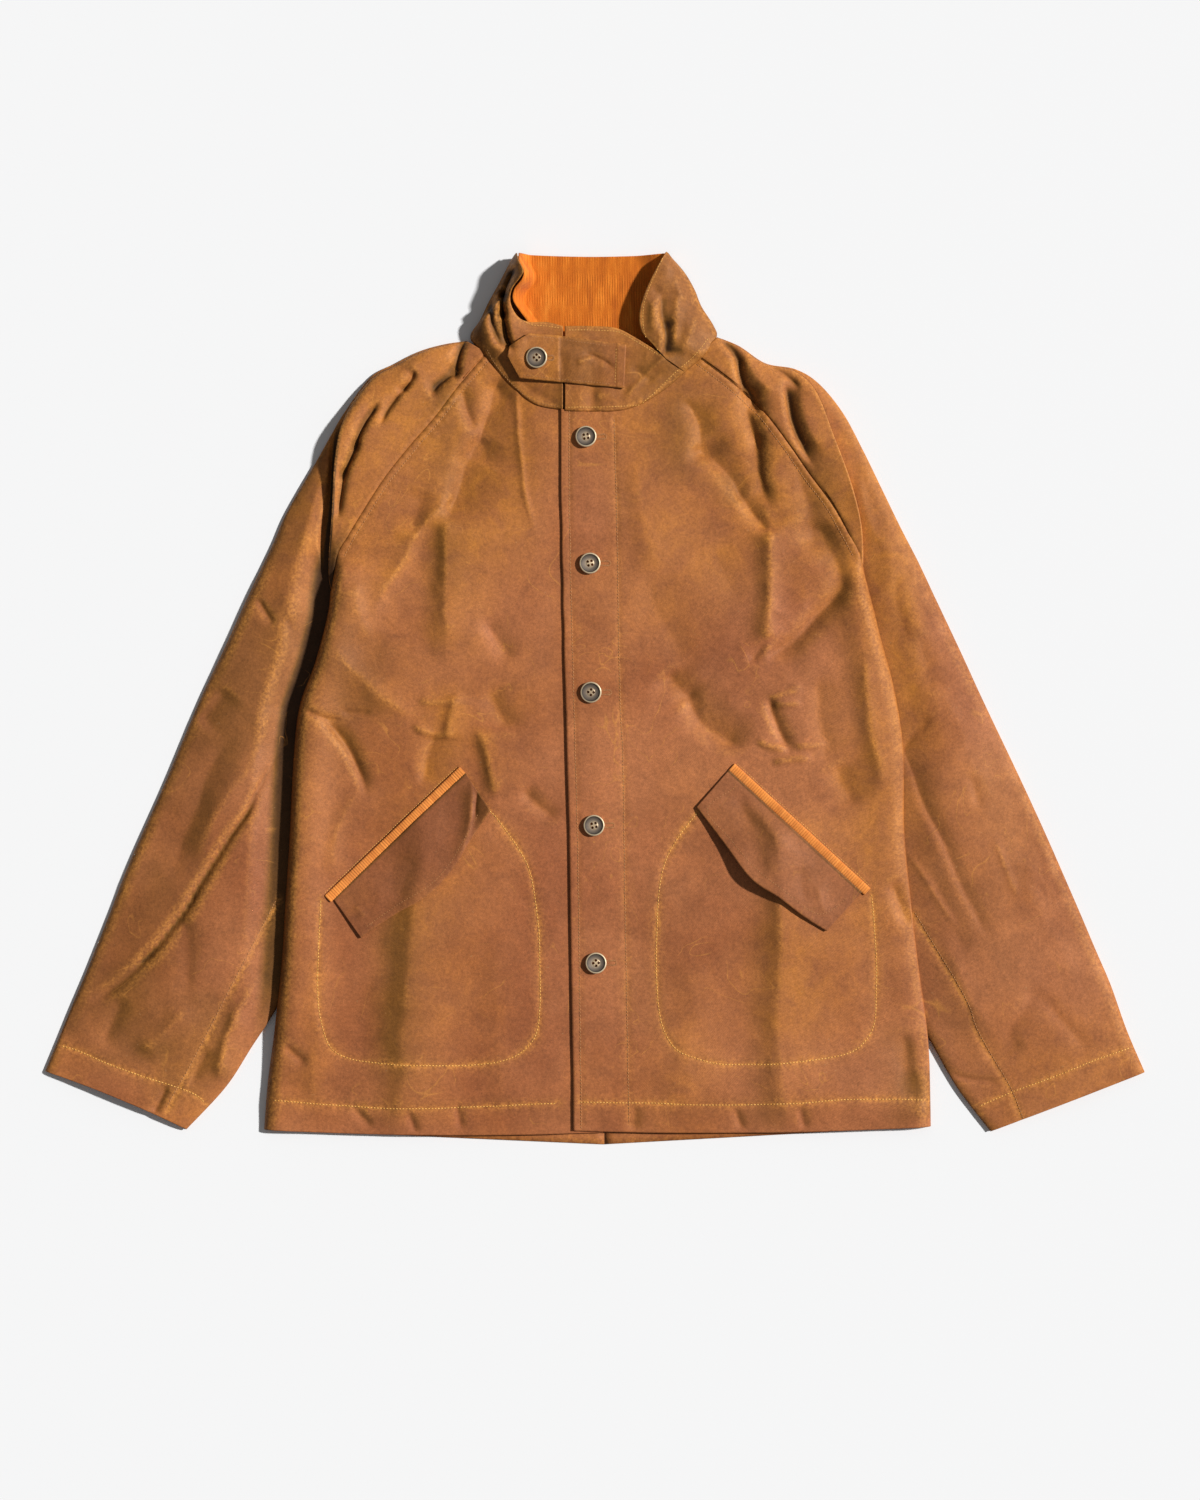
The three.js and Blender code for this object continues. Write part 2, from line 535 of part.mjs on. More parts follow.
function sleeveUpper(name, table, seamRows) {
  const grid = sectionsOf(table, SLEEVE_STEP, seamRows).map((section) => {
    const { long } = pointOn(section, 0);
    const half = Math.min(2 / long, 0.012);
    const stops = [];
    for (let j = 0; j <= LOBE_COLUMNS; j += 1) stops.push((section.fold - half) * (j / LOBE_COLUMNS));
    for (let j = 0; j <= CAP_COLUMNS; j += 1) {
      stops.push(section.fold + half + (1 - section.fold - half) * (j / CAP_COLUMNS));
    }
    return stops.map((share, j) => {
      const end = j === stops.length - 1 ? 1 - SLEEVE_SEAM / long : share;
      const { x, y } = pointOn(section, end);
      const fromOuter = share * long;
      const fromInner = (1 - share) * long;
      const edge = SECOND_LAYER;
      const low = Math.max(3.4, SLEEVE_LOFT + creaseHeight(x, y));
      const closed = roll(fromInner / 12) + (1 - roll(fromInner / 12)) * section.cap;
      const lobe = edge + (low - edge) * roll(fromOuter / 12) * closed;
      const cap = edge + (loft(x, y) - edge) * roll(fromOuter / 16);
      const onCap = j > LOBE_COLUMNS ? section.cap : 0;
      return new THREE.Vector3(x, y, lobe + (cap - lobe) * onCap);
    });
  });
  return sheetMesh(name, grid, CLOTH, WAXED);
}

function sleeveUnder(name, table, seamRows) {
  const grid = sectionsOf(table, BACK_STEP, seamRows).map((section) => {
    const { long } = pointOn(section, 0);
    return [0, 0.5, 1 - SLEEVE_SEAM / long].map((share) => {
      const { x, y } = pointOn(section, share);
      return new THREE.Vector3(x, y, FLOOR_LAYER);
    });
  });
  return sheetMesh(name, grid, CLOTH, WAXED);
}

// Collar: bands that run from the seam, or from the ground, up to the free edge

function collarBand(name, table, step, columns, belly) {
  const grid = sectionsOf(table, step).map((section) => {
    const row = [];
    for (let j = 0; j <= columns; j += 1) {
      const share = j / columns;
      const x = section.x1 + (section.x2 - section.x1) * share;
      const y = section.y1 + (section.y2 - section.y1) * share;
      const z = section.z1 + (section.z2 - section.z1) * share;
      row.push(new THREE.Vector3(x, y, z + belly * Math.sin(Math.PI * share)));
    }
    return row;
  });
  return sheetMesh(name, grid, CLOTH, WAXED);
}

function facing(name, table) {
  const columns = 16;
  const grid = sectionsOf(table, 12).map((section) => {
    const row = [];
    for (let j = 0; j <= columns; j += 1) {
      const even = j / columns;
      const share = even < 0.25 ? even * 0.4 : 0.1 + (even - 0.25) * 1.2;
      const { x, y, long } = pointOn(section, share);
      const left = (section.z1 - FACING_HEIGHT) * (1 - smooth(0, FACING_LEFT_WALL, share * long));
      const fromRight = (1 - share) * long;
      const right = (section.z2 - FACING_HEIGHT) * (1 - smooth(0, FACING_RIGHT_WALL, fromRight));
      row.push(new THREE.Vector3(x, y, FACING_HEIGHT + left + right));
    }
    return row;
  });
  return sheetMesh(name, grid, CORDUROY, CORD);
}

function collarBack() {
  const columns = 6;
  const grid = sectionsOf(COLLAR_BACK, 20).map((section) => {
    const row = [];
    for (let j = 0; j <= columns; j += 1) {
      const { x, y } = pointOn(section, j / columns);
      row.push(new THREE.Vector3(x, y, FLOOR_LAYER));
    }
    return row;
  });
  return sheetMesh('collar_back', grid, CLOTH, WAXED);
}

function collarFrontHeight(y) {
  const share = Math.min(1, Math.max(0, (y - 288) / 83));
  return 12.4 + 3.2 * share + 1.5 * Math.sin(Math.PI * share);
}

function throatTab() {
  const columns = 5;
  const grid = sectionsOf(TAB, 14).map((section) => {
    const row = [];
    for (let j = 0; j <= columns; j += 1) {
      const share = j / columns;
      const x = section.x1 + (section.x2 - section.x1) * share;
      const y = section.y1 + (section.y2 - section.y1) * share;
      row.push(new THREE.Vector3(x, y, collarFrontHeight(y) + ON_TOP + section.lift));
    }
    return row;
  });
  return sheetMesh('throat_tab', grid, CLOTH, WAXED);
}

// Pockets: a corduroy welt and the flap that hangs from it

function alongWelt(line, share, aside) {
  const dx = line.x2 - line.x1;
  const dy = line.y2 - line.y1;
  const long = Math.hypot(dx, dy);
  const side = Math.sign(dx) * aside;
  return {
    x: line.x1 + dx * share + (dy / long) * side,
    y: line.y1 + dy * share - (dx / long) * side,
  };
}

function welt(name, line, surface) {
  const grid = [];
  const count = 14;
  for (let i = 0; i <= count; i += 1) {
    grid.push([-0.5, 0, 0.5].map((aside) => {
      const { x, y } = alongWelt(line, i / count, aside * WELT_WIDTH);
      return new THREE.Vector3(x, y, surface(x, y) + ON_TOP + 0.7);
    }));
  }
  return sheetMesh(name, grid, CORDUROY, CORD);
}

function flap(name, line, table, surface) {
  const columns = 5;
  const rows = table.map((row) => {
    const root = alongWelt(line, row.along, WELT_WIDTH / 2 + 0.6);
    return { x1: root.x, y1: root.y, x2: row.x, y2: row.y, lift: row.lift };
  });
  const grid = sectionsOf(rows, 14).map((section) => {
    const row = [];
    for (let j = 0; j <= columns; j += 1) {
      const share = j / columns;
      const x = section.x1 + (section.x2 - section.x1) * share;
      const y = section.y1 + (section.y2 - section.y1) * share;
      row.push(new THREE.Vector3(x, y, surface(x, y) + ON_TOP + 0.7 + section.lift * share ** 1.5));
    }
    return row;
  });
  return sheetMesh(name, grid, CLOTH, WAXED);
}

// Buttons: a cupped disc with four holes

function solidOf(geometry) {
  geometry.deleteAttribute('normal');
  geometry.deleteAttribute('uv');
  const merged = mergeVertices(geometry, 1e-4);
  return new wasm.Manifold(new wasm.Mesh({
    numProp: 3,
    vertProperties: new Float32Array(merged.attributes.position.array),
    triVerts: new Uint32Array(merged.index.array),
  }));
}

function button(name, place, radius, z) {
  const h = BUTTON_HEIGHT;
  const profile = [
    [0, 0], [radius * 0.8, 0], [radius, h * 0.45], [radius * 0.96, h * 0.9],
    [radius * 0.86, h], [radius * 0.62, h * 0.62], [0, h * 0.55],
  ].map(([r, height]) => new THREE.Vector2(r, height));
  let solid = solidOf(new THREE.LatheGeometry(profile, 16).rotateX(Math.PI / 2));
  for (let k = 0; k < 4; k += 1) {
    const turn = Math.PI / 4 + (k * Math.PI) / 2;
    const hole = new THREE.CylinderGeometry(HOLE_RADIUS, HOLE_RADIUS, 3 * h, 6).rotateX(Math.PI / 2);
    hole.translate(HOLE_SPACING * Math.cos(turn), HOLE_SPACING * Math.sin(turn), h / 2);
    solid = solid.subtract(solidOf(hole));
  }
  const result = solid.getMesh();
  const geometry = new THREE.BufferGeometry();
  geometry.setAttribute('position', new THREE.Float32BufferAttribute(result.vertProperties, 3));
  geometry.setIndex(Array.from(result.triVerts));
  const mesh = new THREE.Mesh(geometry, BRASS);
  mesh.name = name;
  mesh.position.set(place.x, place.y, z);
  jacket.add(mesh);
}

function sideAt(table, y) {
  for (let i = 0; i < table.length - 1; i += 1) {
    const [a, b] = [table[i], table[i + 1]];
    if (y <= a.y1 && y >= b.y1) return a.x1 + ((b.x1 - a.x1) * (a.y1 - y)) / (a.y1 - b.y1);
  }
  return table[table.length - 1].x1;
}

const rightSurface = (x, y) => frontHeight(x, y, x - sideAt(FRONT_RIGHT, y), LIFT_RIGHT);
const leftSurface = (x, y) => frontHeight(x, y, sideAt(FRONT_LEFT, y) - x, LIFT_LEFT);

back('back_right', FRONT_RIGHT, SEAM_ROWS_RIGHT, LIFT_RIGHT);
back('back_left', FRONT_LEFT, SEAM_ROWS_LEFT, LIFT_LEFT);
sleeveUnder('sleeve_right_under', SLEEVE_RIGHT, SEAM_ROWS_RIGHT);
sleeveUnder('sleeve_left_under', SLEEVE_LEFT, SEAM_ROWS_LEFT);
sleeveUpper('sleeve_right_upper', SLEEVE_RIGHT, SEAM_ROWS_RIGHT);
sleeveUpper('sleeve_left_upper', SLEEVE_LEFT, SEAM_ROWS_LEFT);
front('front_right', FRONT_RIGHT, SEAM_ROWS_RIGHT, LIFT_RIGHT, LAP_DOWN);
front('front_left', FRONT_LEFT, SEAM_ROWS_LEFT, LIFT_LEFT, LAP_UP);
collarBack();
facing('collar_facing', COLLAR_FACING);
collarBand('collar_right', COLLAR_RIGHT, 12, 6, 1.5);
collarBand('collar_left', COLLAR_LEFT, 12, 6, 1.5);
collarBand('collar_leaf', COLLAR_LEAF, 12, 8, 7);
throatTab();
welt('welt_right', WELT_RIGHT, rightSurface);
welt('welt_left', WELT_LEFT, leftSurface);
flap('flap_right', WELT_RIGHT, FLAP_RIGHT, rightSurface);
flap('flap_left', WELT_LEFT, FLAP_LEFT, leftSurface);
FRONT_BUTTONS.forEach((place, k) => {
  const z = leftSurface(place.x, place.y) + LAP_UP + CLOTH / 2 + SEAM + 0.5;
  button(`button_${k + 1}`, place, BUTTON_RADIUS, z);
});
button('button_tab', TAB_BUTTON, TAB_BUTTON.radius, collarFrontHeight(TAB_BUTTON.y) + ON_TOP + 3.6);

// The part's origin: the middle of its base

const extent = new THREE.Box3().setFromObject(jacket);
const middle = extent.getCenter(new THREE.Vector3());
jacket.position.set(-middle.x, -middle.y, -extent.min.z);
const part = new THREE.Group();
part.add(jacket);

export default part;
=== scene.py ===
# %% [markdown]
# # A waxed cotton jacket, laid flat
#
# The jacket lies on its back on a pale surface, fastened, and is seen from straight above. Its
# cloth is made sheet by sheet, as a maker cuts it: each sheet is a grid of points worked out from
# the sizes of its sections, raised by the creases, then given the thickness of the cloth.

# %% The frame and the tools
import math

import bpy
import numpy as np
from mathutils import Matrix, Vector
from mathutils.bvhtree import BVHTree


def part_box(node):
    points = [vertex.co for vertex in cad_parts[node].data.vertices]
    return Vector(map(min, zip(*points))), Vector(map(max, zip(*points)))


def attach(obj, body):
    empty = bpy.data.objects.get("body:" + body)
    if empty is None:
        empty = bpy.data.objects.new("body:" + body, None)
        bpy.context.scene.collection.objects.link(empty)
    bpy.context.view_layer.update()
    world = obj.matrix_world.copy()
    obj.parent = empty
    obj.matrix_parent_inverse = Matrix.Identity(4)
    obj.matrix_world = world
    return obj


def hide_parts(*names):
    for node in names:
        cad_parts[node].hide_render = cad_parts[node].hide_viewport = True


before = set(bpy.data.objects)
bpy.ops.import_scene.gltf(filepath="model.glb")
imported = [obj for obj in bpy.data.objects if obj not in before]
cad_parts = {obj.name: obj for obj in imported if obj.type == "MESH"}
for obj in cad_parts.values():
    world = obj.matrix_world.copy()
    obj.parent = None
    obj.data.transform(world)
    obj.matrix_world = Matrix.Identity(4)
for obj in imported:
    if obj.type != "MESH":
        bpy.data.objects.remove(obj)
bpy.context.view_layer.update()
bpy.ops.object.select_all(action="DESELECT")

# %% [markdown]
# ## Sizes
#
# The tables below are in millimetres, measured from the middle of the jacket, because cloth is
# cut in millimetres. `place` turns them into metres in the frame. The centre-back seam of the
# left back shows how far the tables' middle lies from the frame's.

# %% Units and cloth
MM = 0.001
CLOTH = 1.2
CORDUROY = 1.6
SEAM = 0.3
CENTRE_BACK, BACK_NECK, BACK_HEM = 12.5, 347.0, -445.0
FLOOR_LAYER = CLOTH / 2
SECOND_LAYER = FLOOR_LAYER + CLOTH + SEAM
MIDDLE_X = CENTRE_BACK + SEAM / 2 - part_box("back_left")[0][0] / MM
MIDDLE_Y = BACK_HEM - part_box("back_left")[0][1] / MM
print("tables' middle", round(MIDDLE_X, 2), round(MIDDLE_Y, 2))


def place(points):
    """Points of the tables, in metres in the frame."""
    points = np.asarray(points, float) - np.array([MIDDLE_X, MIDDLE_Y, 0.0])
    return points * MM


# %% [markdown]
# ## Camera, light and ground
#
# A long lens looks straight down. One soft lamp stands low on the right and a little towards
# the collar, so that each fold throws a short shadow to the left, and a bright sky fills it.

# %% Camera
FRAME_TALL_MM = 1500.0
FRAME_MIDDLE = (8.0, -51.0)
LENS, SENSOR = 85.0, 36.0


def add_to_scene(name, data):
    """A new object that shows the data."""
    thing = bpy.data.objects.new(name, data)
    bpy.context.scene.collection.objects.link(thing)
    return thing


camera_data = bpy.data.cameras.new("camera")
camera_data.lens, camera_data.sensor_width = LENS, SENSOR
camera = add_to_scene("camera", camera_data)
distance = FRAME_TALL_MM * LENS / SENSOR
camera.location = place([*FRAME_MIDDLE, distance])
bpy.context.scene.camera = camera
print("camera height", round(camera.location.z, 3))

# %% Light
LAMP_TURN, LAMP_RISE = math.radians(16), math.radians(39)
LAMP_STRENGTH, LAMP_SPREAD = 4.65, math.radians(3.6)
SKY_COLOUR, SKY_STRENGTH = (0.98, 0.985, 1.0, 1.0), 0.185
lamp_data = bpy.data.lights.new("lamp", "SUN")
lamp_data.energy, lamp_data.angle = LAMP_STRENGTH, LAMP_SPREAD
lamp = add_to_scene("lamp", lamp_data)
toward_lamp = Vector((math.cos(LAMP_TURN) * math.cos(LAMP_RISE),
                      math.sin(LAMP_TURN) * math.cos(LAMP_RISE), math.sin(LAMP_RISE)))
lamp.rotation_euler = toward_lamp.to_track_quat("Z", "Y").to_euler()
sky = bpy.data.worlds.new("sky")
sky.use_nodes = True
sky_light = sky.node_tree.nodes["Background"]
sky_light.inputs["Color"].default_value = SKY_COLOUR
sky_light.inputs["Strength"].default_value = SKY_STRENGTH
bpy.context.scene.world = sky
bpy.context.scene.view_settings.view_transform = "Standard"
print("towards the lamp", [round(part, 2) for part in toward_lamp])

# %% Ground
GROUND_WIDE, GROUND_DROP = 12, 0.0005
GROUND_GREY, GROUND_ROUGH = 0.825, 0.9
bpy.ops.mesh.primitive_plane_add(size=GROUND_WIDE, location=(0, 0, -GROUND_DROP))
ground = bpy.context.object
ground.name = "ground"
ground_paint = bpy.data.materials.new("ground_paint")
ground_paint.use_nodes = True
ground_shader = ground_paint.node_tree.nodes["Principled BSDF"]
ground_shader.inputs["Base Color"].default_value = (GROUND_GREY, GROUND_GREY, GROUND_GREY, 1)
ground_shader.inputs["Roughness"].default_value = GROUND_ROUGH
ground.data.materials.append(ground_paint)
print("ground", GROUND_WIDE, "metres wide")

# %% [markdown]
# ## Helpers for cloth
#
# A table holds the sections of a sheet, one row each. Points between the rows lie on a smooth
# curve through them. Noise gives the small unevenness that no table could list; it is seeded,
# so it is the same in every run.

# %% Tables and curves


def table(columns, *rows):
    """A table with named columns."""
    return dict(zip(columns.split(), np.array(rows, float).T))


def smooth(start, end, value):
    """From 0 at start to 1 at end, without corners."""
    share = np.clip((np.asarray(value, float) - start) / (end - start), 0, 1)
    return share * share * (3 - 2 * share)


def roll(share):
    """The height of a rounded fold, from its edge to where it is full."""
    share = np.clip(share, 0, 1)
    return np.sqrt(1 - (1 - share) ** 2)


def bell(distance, wide):
    """1 where the distance is 0, and less and less further off, over about wide."""
    return np.exp(-(distance / wide) ** 2)


def even_shares(count):
    """A row of shares from 0 to 1, evenly spaced."""
    return np.linspace(0, 1, count)[None, :]


def along(values, places):
    """A smooth curve through the values, at places counted in rows."""
    last = len(values) - 1
    index = np.minimum(last - 1, np.floor(places).astype(int))
    t = places - index
    before, start, end, after = (values[np.clip(index + k, 0, last)] for k in (-1, 0, 1, 2))
    leave, arrive, rest = (end - before) / 2, (after - start) / 2, end - start
    return start + t * (leave + t * (3 * rest - 2 * leave - arrive + t * (leave + arrive - 2 * rest)))


def sections_of(rows, step, curved=True):
    """The table's sections with more of them between, a step apart at most."""
    places = []
    for i in range(len(rows["x1"]) - 1):
        first = math.hypot(rows["x1"][i + 1] - rows["x1"][i], rows["y1"][i + 1] - rows["y1"][i])
        second = math.hypot(rows["x2"][i + 1] - rows["x2"][i], rows["y2"][i + 1] - rows["y2"][i])
        count = max(1, round(max(first, second) / step))
        places += [i + k / count for k in range(count)]
    places.append(len(rows["x1"]) - 1)
    if not curved:
        known = np.arange(len(rows["x1"]))
        return {name: np.interp(places, known, values) for name, values in rows.items()}
    return {name: along(values, np.array(places)) for name, values in rows.items()}


def lengths(sections):
    """The straight length of each section."""
    return np.hypot(sections["x2"] - sections["x1"], sections["y2"] - sections["y1"])[:, None]


def grid_on(sections, shares):
    """Points of each section at its shares, sagging by its bow, and the section's length."""
    x1, y1, x2, y2 = (sections[name][:, None] for name in ("x1", "y1", "x2", "y2"))
    bow = sections["bow"][:, None] if "bow" in sections else 0.0
    long = np.hypot(x2 - x1, y2 - y1)
    sag = 4 * shares * (1 - shares) * bow / long
    side = np.where(x2 > x1, 1.0, -1.0)
    x = x1 + (x2 - x1) * shares + sag * (y2 - y1) * side
    y = y1 + (y2 - y1) * shares - sag * (x2 - x1) * side
    return x, y, long + 0 * x


# %% Noise


def noise(x, y, size, seed):
    """Smooth noise from -1 to 1, its lumps about size across."""
    corners = np.random.RandomState(seed).uniform(-1, 1, (256, 256))
    u, v = np.asarray(x) / size + 1000.0, np.asarray(y) / size + 1000.0
    iu, iv = np.floor(u).astype(int), np.floor(v).astype(int)
    fu, fv = u - iu, v - iv
    fu, fv = fu * fu * (3 - 2 * fu), fv * fv * (3 - 2 * fv)
    a, b = corners[iu % 256, iv % 256], corners[(iu + 1) % 256, iv % 256]
    c, d = corners[iu % 256, (iv + 1) % 256], corners[(iu + 1) % 256, (iv + 1) % 256]
    return (a + (b - a) * fu) * (1 - fv) + (c + (d - c) * fu) * fv


def crumple(x, y, size, seed):
    """Noise with sharp ridges, as waxed cloth creases, from about -1 to 1."""
    bent = x + size * 0.35 * noise(x, y, size * 1.7, seed + 1)
    ridge = 1 - 2.4 * np.abs(noise(bent, y, size, seed))
    return ridge * (0.55 + 0.45 * noise(x, y, size * 2.3, seed + 2))


# %% [markdown]
# ## Creases
#
# The creases are listed one row each: a line from one point to another, how far its
# middle bends aside, how wide it is on its left and its right as one walks along it, and how
# high. A height below nothing is a trough. Few creases are even: most have one steep side and
# one long soft side, and each fades at its ends.

# %% Creases of the body
BODY_CREASES = table(
    "x1 y1 x2 y2 bend left right high",
    (-92, 314, -114, 246, 0, 26, 9, -6.0), (-112, 254, -142, 182, 2, 32, 10, -6.5),
    (-141, 190, -145, 48, 3, 52, 14, 5.2), (-142, 202, -213, 91, 5, 7, 24, 3.6),
    (-127, 306, -118, 268, 2, 10, 6, -3.4), (-170, 206, -176, 166, 0, 15, 15, -2.2),
    (-74, 306, -60, 176, 4, 3, 4, 1.1), (-254, 46, -186, -12, 4, 9, 16, 2.6),
    (-104, 80, -83, 40, 0, 12, 9, -2.4), (-284, -11, -252, -21, 2, 3, 3, -1.8),
    (-248, -13, -222, -13, 1, 3, 3, -1.4), (-264, -23, -226, -88, -4, 8, 4, -4.0),
    (-170, -2, -137, -4, 1, 5, 3, 1.6), (-176, -28, -140, -37, 2, 5, 3, 1.8),
    (-137, 0, -142, -40, 2, 15, 5, 2.6), (-113, -34, -96, -94, -4, 24, 7, 3.4),
    (-66, -92, -38, -118, 2, 9, 7, -2.6), (-155, -30, -168, -84, 2, 12, 7, -2.8),
    (-104, 12, -84, -30, 3, 16, 12, -2.8), (-232, 110, -222, 60, 3, 10, 14, 1.8),
    (-166, -120, -185, -300, -3, 70, 23, 4.6), (-183, -286, -194, -428, -2, 60, 26, 4.4),
    (-304, -346, -286, -362, 1, 5, 5, -2.0), (-268, -250, -276, -400, 3, 14, 18, 1.8),
    (-96, -250, -88, -400, 4, 30, 22, 1.6), (-236, -96, -262, -170, 4, 12, 9, 1.6),
    (-182, -412, -176, -432, 0, 4, 5, -1.8), (-134, -405, -131, -428, 0, 4, 4, -1.6),
    (-236, -408, -222, -426, 1, 4, 5, -1.6),
    (95, 296, 110, 243, -4, 22, 8, -4.6), (108, 250, 146, 205, -4, 24, 9, -5.6),
    (144, 208, 180, 168, 3, 16, 6, -4.6), (156, 310, 167, 255, 3, 8, 12, -5.4),
    (166, 262, 176, 196, 3, 7, 14, -5.2), (176, 182, 174, 44, -3, 9, 12, 4.2),
    (198, 240, 222, 150, -6, 26, 16, -4.8), (218, 172, 252, 108, -5, 18, 14, -5.2),
    (247, 108, 176, 40, -3, 12, 9, -5.6), (158, 36, 178, 62, 0, 6, 5, -2.4),
    (76, 24, 96, -2, 2, 16, 14, -3.4), (92, 0, 142, -48, 5, 20, 8, -5.0),
    (177, -1, 195, -51, 3, 8, 4, -3.4), (176, 0, 206, 12, 1, 4, 5, 1.8),
    (182, -6, 206, -4, 0, 4, 3, 1.5), (166, -43, 194, -51, 1, 4, 3, 1.8),
    (205, -48, 232, -45, 1, 4, 3, 1.6), (183, -64, 216, -60, -1, 4, 3, 1.8),
    (245, -68, 262, -104, 2, 15, 12, -2.8), (182, -118, 188, -250, -2, 70, 17, 5.0),
    (188, -238, 192, -428, 2, 60, 20, 4.8), (299, -185, 318, -224, 1, 9, 7, -3.2),
    (310, -338, 324, -400, 2, 9, 12, -3.0), (96, -260, 90, -400, -4, 26, 30, 1.6),
    (120, 150, 150, 96, 3, 22, 18, -1.8), (60, 120, 92, 36, 5, 26, 20, -2.2),
    (44, 230, 70, 130, 6, 22, 18, 1.8), (224, 20, 236, -60, 4, 16, 12, -2.2),
    (272, 40, 288, -80, 3, 10, 9, 2.0), (144, -410, 150, -428, 0, 4, 4, -1.6),
    (206, -408, 211, -428, 0, 5, 4, -1.8), (44, -408, 41, -430, 0, 5, 5, -1.3),
)
print("creases of the body", len(BODY_CREASES["x1"]))

# %% Creases of the sleeves
SLEEVE_CREASES = table(
    "x1 y1 x2 y2 bend left right high",
    (-216, 292, -235, 250, 2, 3.5, 6, -7.5), (-233, 254, -248, 220, -1, 3.5, 7, -8),
    (-246, 226, -253, 184, 0, 3.5, 6, -5), (-178, 325, -190, 306, -1, 3.5, 6, -6),
    (-186, 312, -210, 276, 2, 3, 6, -5), (-126, 360, -136, 322, 3, 3.5, 6, -7.5),
    (-134, 326, -160, 304, 2, 4, 9, -7), (-148, 352, -196, 300, 8, 13, 10, 3.0),
    (-262, 232, -288, 150, 4, 9, 9, 2.4), (-276, 250, -306, 180, 3, 9, 9, -2.2),
    (-332, 98, -319, 76, 0, 3, 4, -2.4), (-304, 80, -296, 50, 0, 7, 5, -2.2),
    (-320, 130, -366, 30, 6, 18, 18, 1.8), (-300, -34, -345, -115, 2, 5, 2.5, -3.8),
    (-340, -108, -402, -204, 2, 5, 2.3, -5.6), (-396, -196, -450, -264, -2, 5, 2.3, -5.2),
    (-440, -254, -494, -298, -3, 5, 4, -3.0), (-362, -44, -414, -166, 4, 18, 16, -3.4),
    (-366, 4, -390, -24, 1, 14, 10, -2.6), (-336, -60, -392, -150, 3, 9, 14, 2.0),
    (-314, -258, -360, -322, 3, 12, 8, 4.4), (-356, -316, -370, -378, 3, 12, 8, 4.2),
    (-407, -218, -404, -292, -3, 11, 12, -2.4), (-449, -349, -405, -312, 2, 9, 12, 2.2),
    (-424, -388, -436, -412, 0, 4, 5, -3.0), (-384, -352, -398, -384, 1, 7, 5, -2.2),
    (-470, -300, -486, -345, 2, 9, 8, -2.0), (-516, -300, -528, -340, 2, 8, 8, -1.6),
    (-430, -120, -470, -200, 4, 14, 14, 1.6), (-300, 20, -330, -40, 4, 14, 12, 1.8),
    (131, 357, 148, 332, -2, 6, 3.5, -7), (146, 336, 167, 286, 5, 8, 3.5, -7.5),
    (192, 310, 216, 240, 4, 9, 3.5, -7.5), (177, 334, 204, 311, -2, 5, 4, -4.4),
    (152, 346, 180, 306, 5, 12, 10, 3.0), (206, 300, 226, 250, 3, 10, 9, 2.2),
    (268, 222, 292, 150, 4, 10, 9, 2.4), (336, -20, 311, -50, 1, 5, 7, -3.4),
    (311, -50, 352, -144, 3, 9, 4, -2.8), (348, -136, 394, -234, 3, 9, 4, -2.4),
    (378, -78, 386, -106, 0, 6, 5, -1.8), (402, -142, 424, -196, 1, 3, 3, 1.2),
    (316, -156, 364, -228, 0, 3, 3, 1.2), (441, -292, 414, -338, 2, 10, 7, -2.8),
    (443, -296, 492, -346, -3, 8, 9, -2.4), (393, -358, 426, -344, 1, 8, 7, -2.4),
    (360, -375, 404, -382, 2, 3, 3, -2.4), (352, 6, 404, -100, 6, 18, 16, 1.8),
    (330, 60, 340, 10, 3, 12, 12, -2.4), (440, -180, 486, -290, 5, 18, 16, 1.8),
    (356, -250, 398, -330, 4, 12, 12, 1.8), (300, 120, 316, 60, 3, 9, 12, -2.2),
    (396, -20, 420, -70, 3, 12, 12, -1.8), (340, -180, 372, -250, -3, 12, 9, -1.8),
)
print("creases of the sleeves", len(SLEEVE_CREASES["x1"]))

# %% How a crease raises the cloth


def crease_height(x, y, creases):
    """Height that the creases give the cloth at each point."""
    wander_x = 3.0 * noise(x, y, 34, 11) + noise(x, y, 12, 12)
    wander_y = 3.0 * noise(x, y, 34, 13) + noise(x, y, 12, 14)
    height = np.zeros_like(x)
    for x1, y1, x2, y2, bend, left, right, high in zip(*creases.values()):
        loose = min(1.0, (left + right) / 24)
        px, py = x + loose * wander_x, y + loose * wander_y
        long = math.hypot(x2 - x1, y2 - y1)
        run = ((px - x1) * (x2 - x1) + (py - y1) * (y2 - y1)) / long
        near = np.clip(run / long, -0.2, 1.2)
        aside = ((px - x1) * (y2 - y1) - (py - y1) * (x2 - x1)) / long - bend * 4 * near * (1 - near)
        wide = np.where(aside > 0, right, left)
        fade = smooth(-0.16, 0.18, near) * (1 - smooth(0.8, 1.16, near))
        height += high * fade * np.exp(-(np.abs(aside) / wide) ** 1.45)
    return height


# %% [markdown]
# ## The height of the upper cloth
#
# The fronts and the shoulder caps share one height, so that they meet at the raglan seams. It
# is a plain loft with soft swells, then the creases, then crumples of three sizes.

# %% Loft
BODY_LOFT, SLEEVE_LOFT = 9.5, 5.6
LOWEST_MIDDLE, LOWEST_SIDE = 3.4, 6.6
PUFF = 3.8
FOLD_GAIN = 1.3
HEM_FALL = 3.6
SWELLS = table("x y radius high", (-244, 240, 62, 8.5), (228, 262, 62, 6.5), (0, 330, 90, 1),
               (-215, 60, 70, 2.0), (250, 60, 70, 1.5), (-240, -300, 80, 1.2), (250, -300, 80, 1.2))


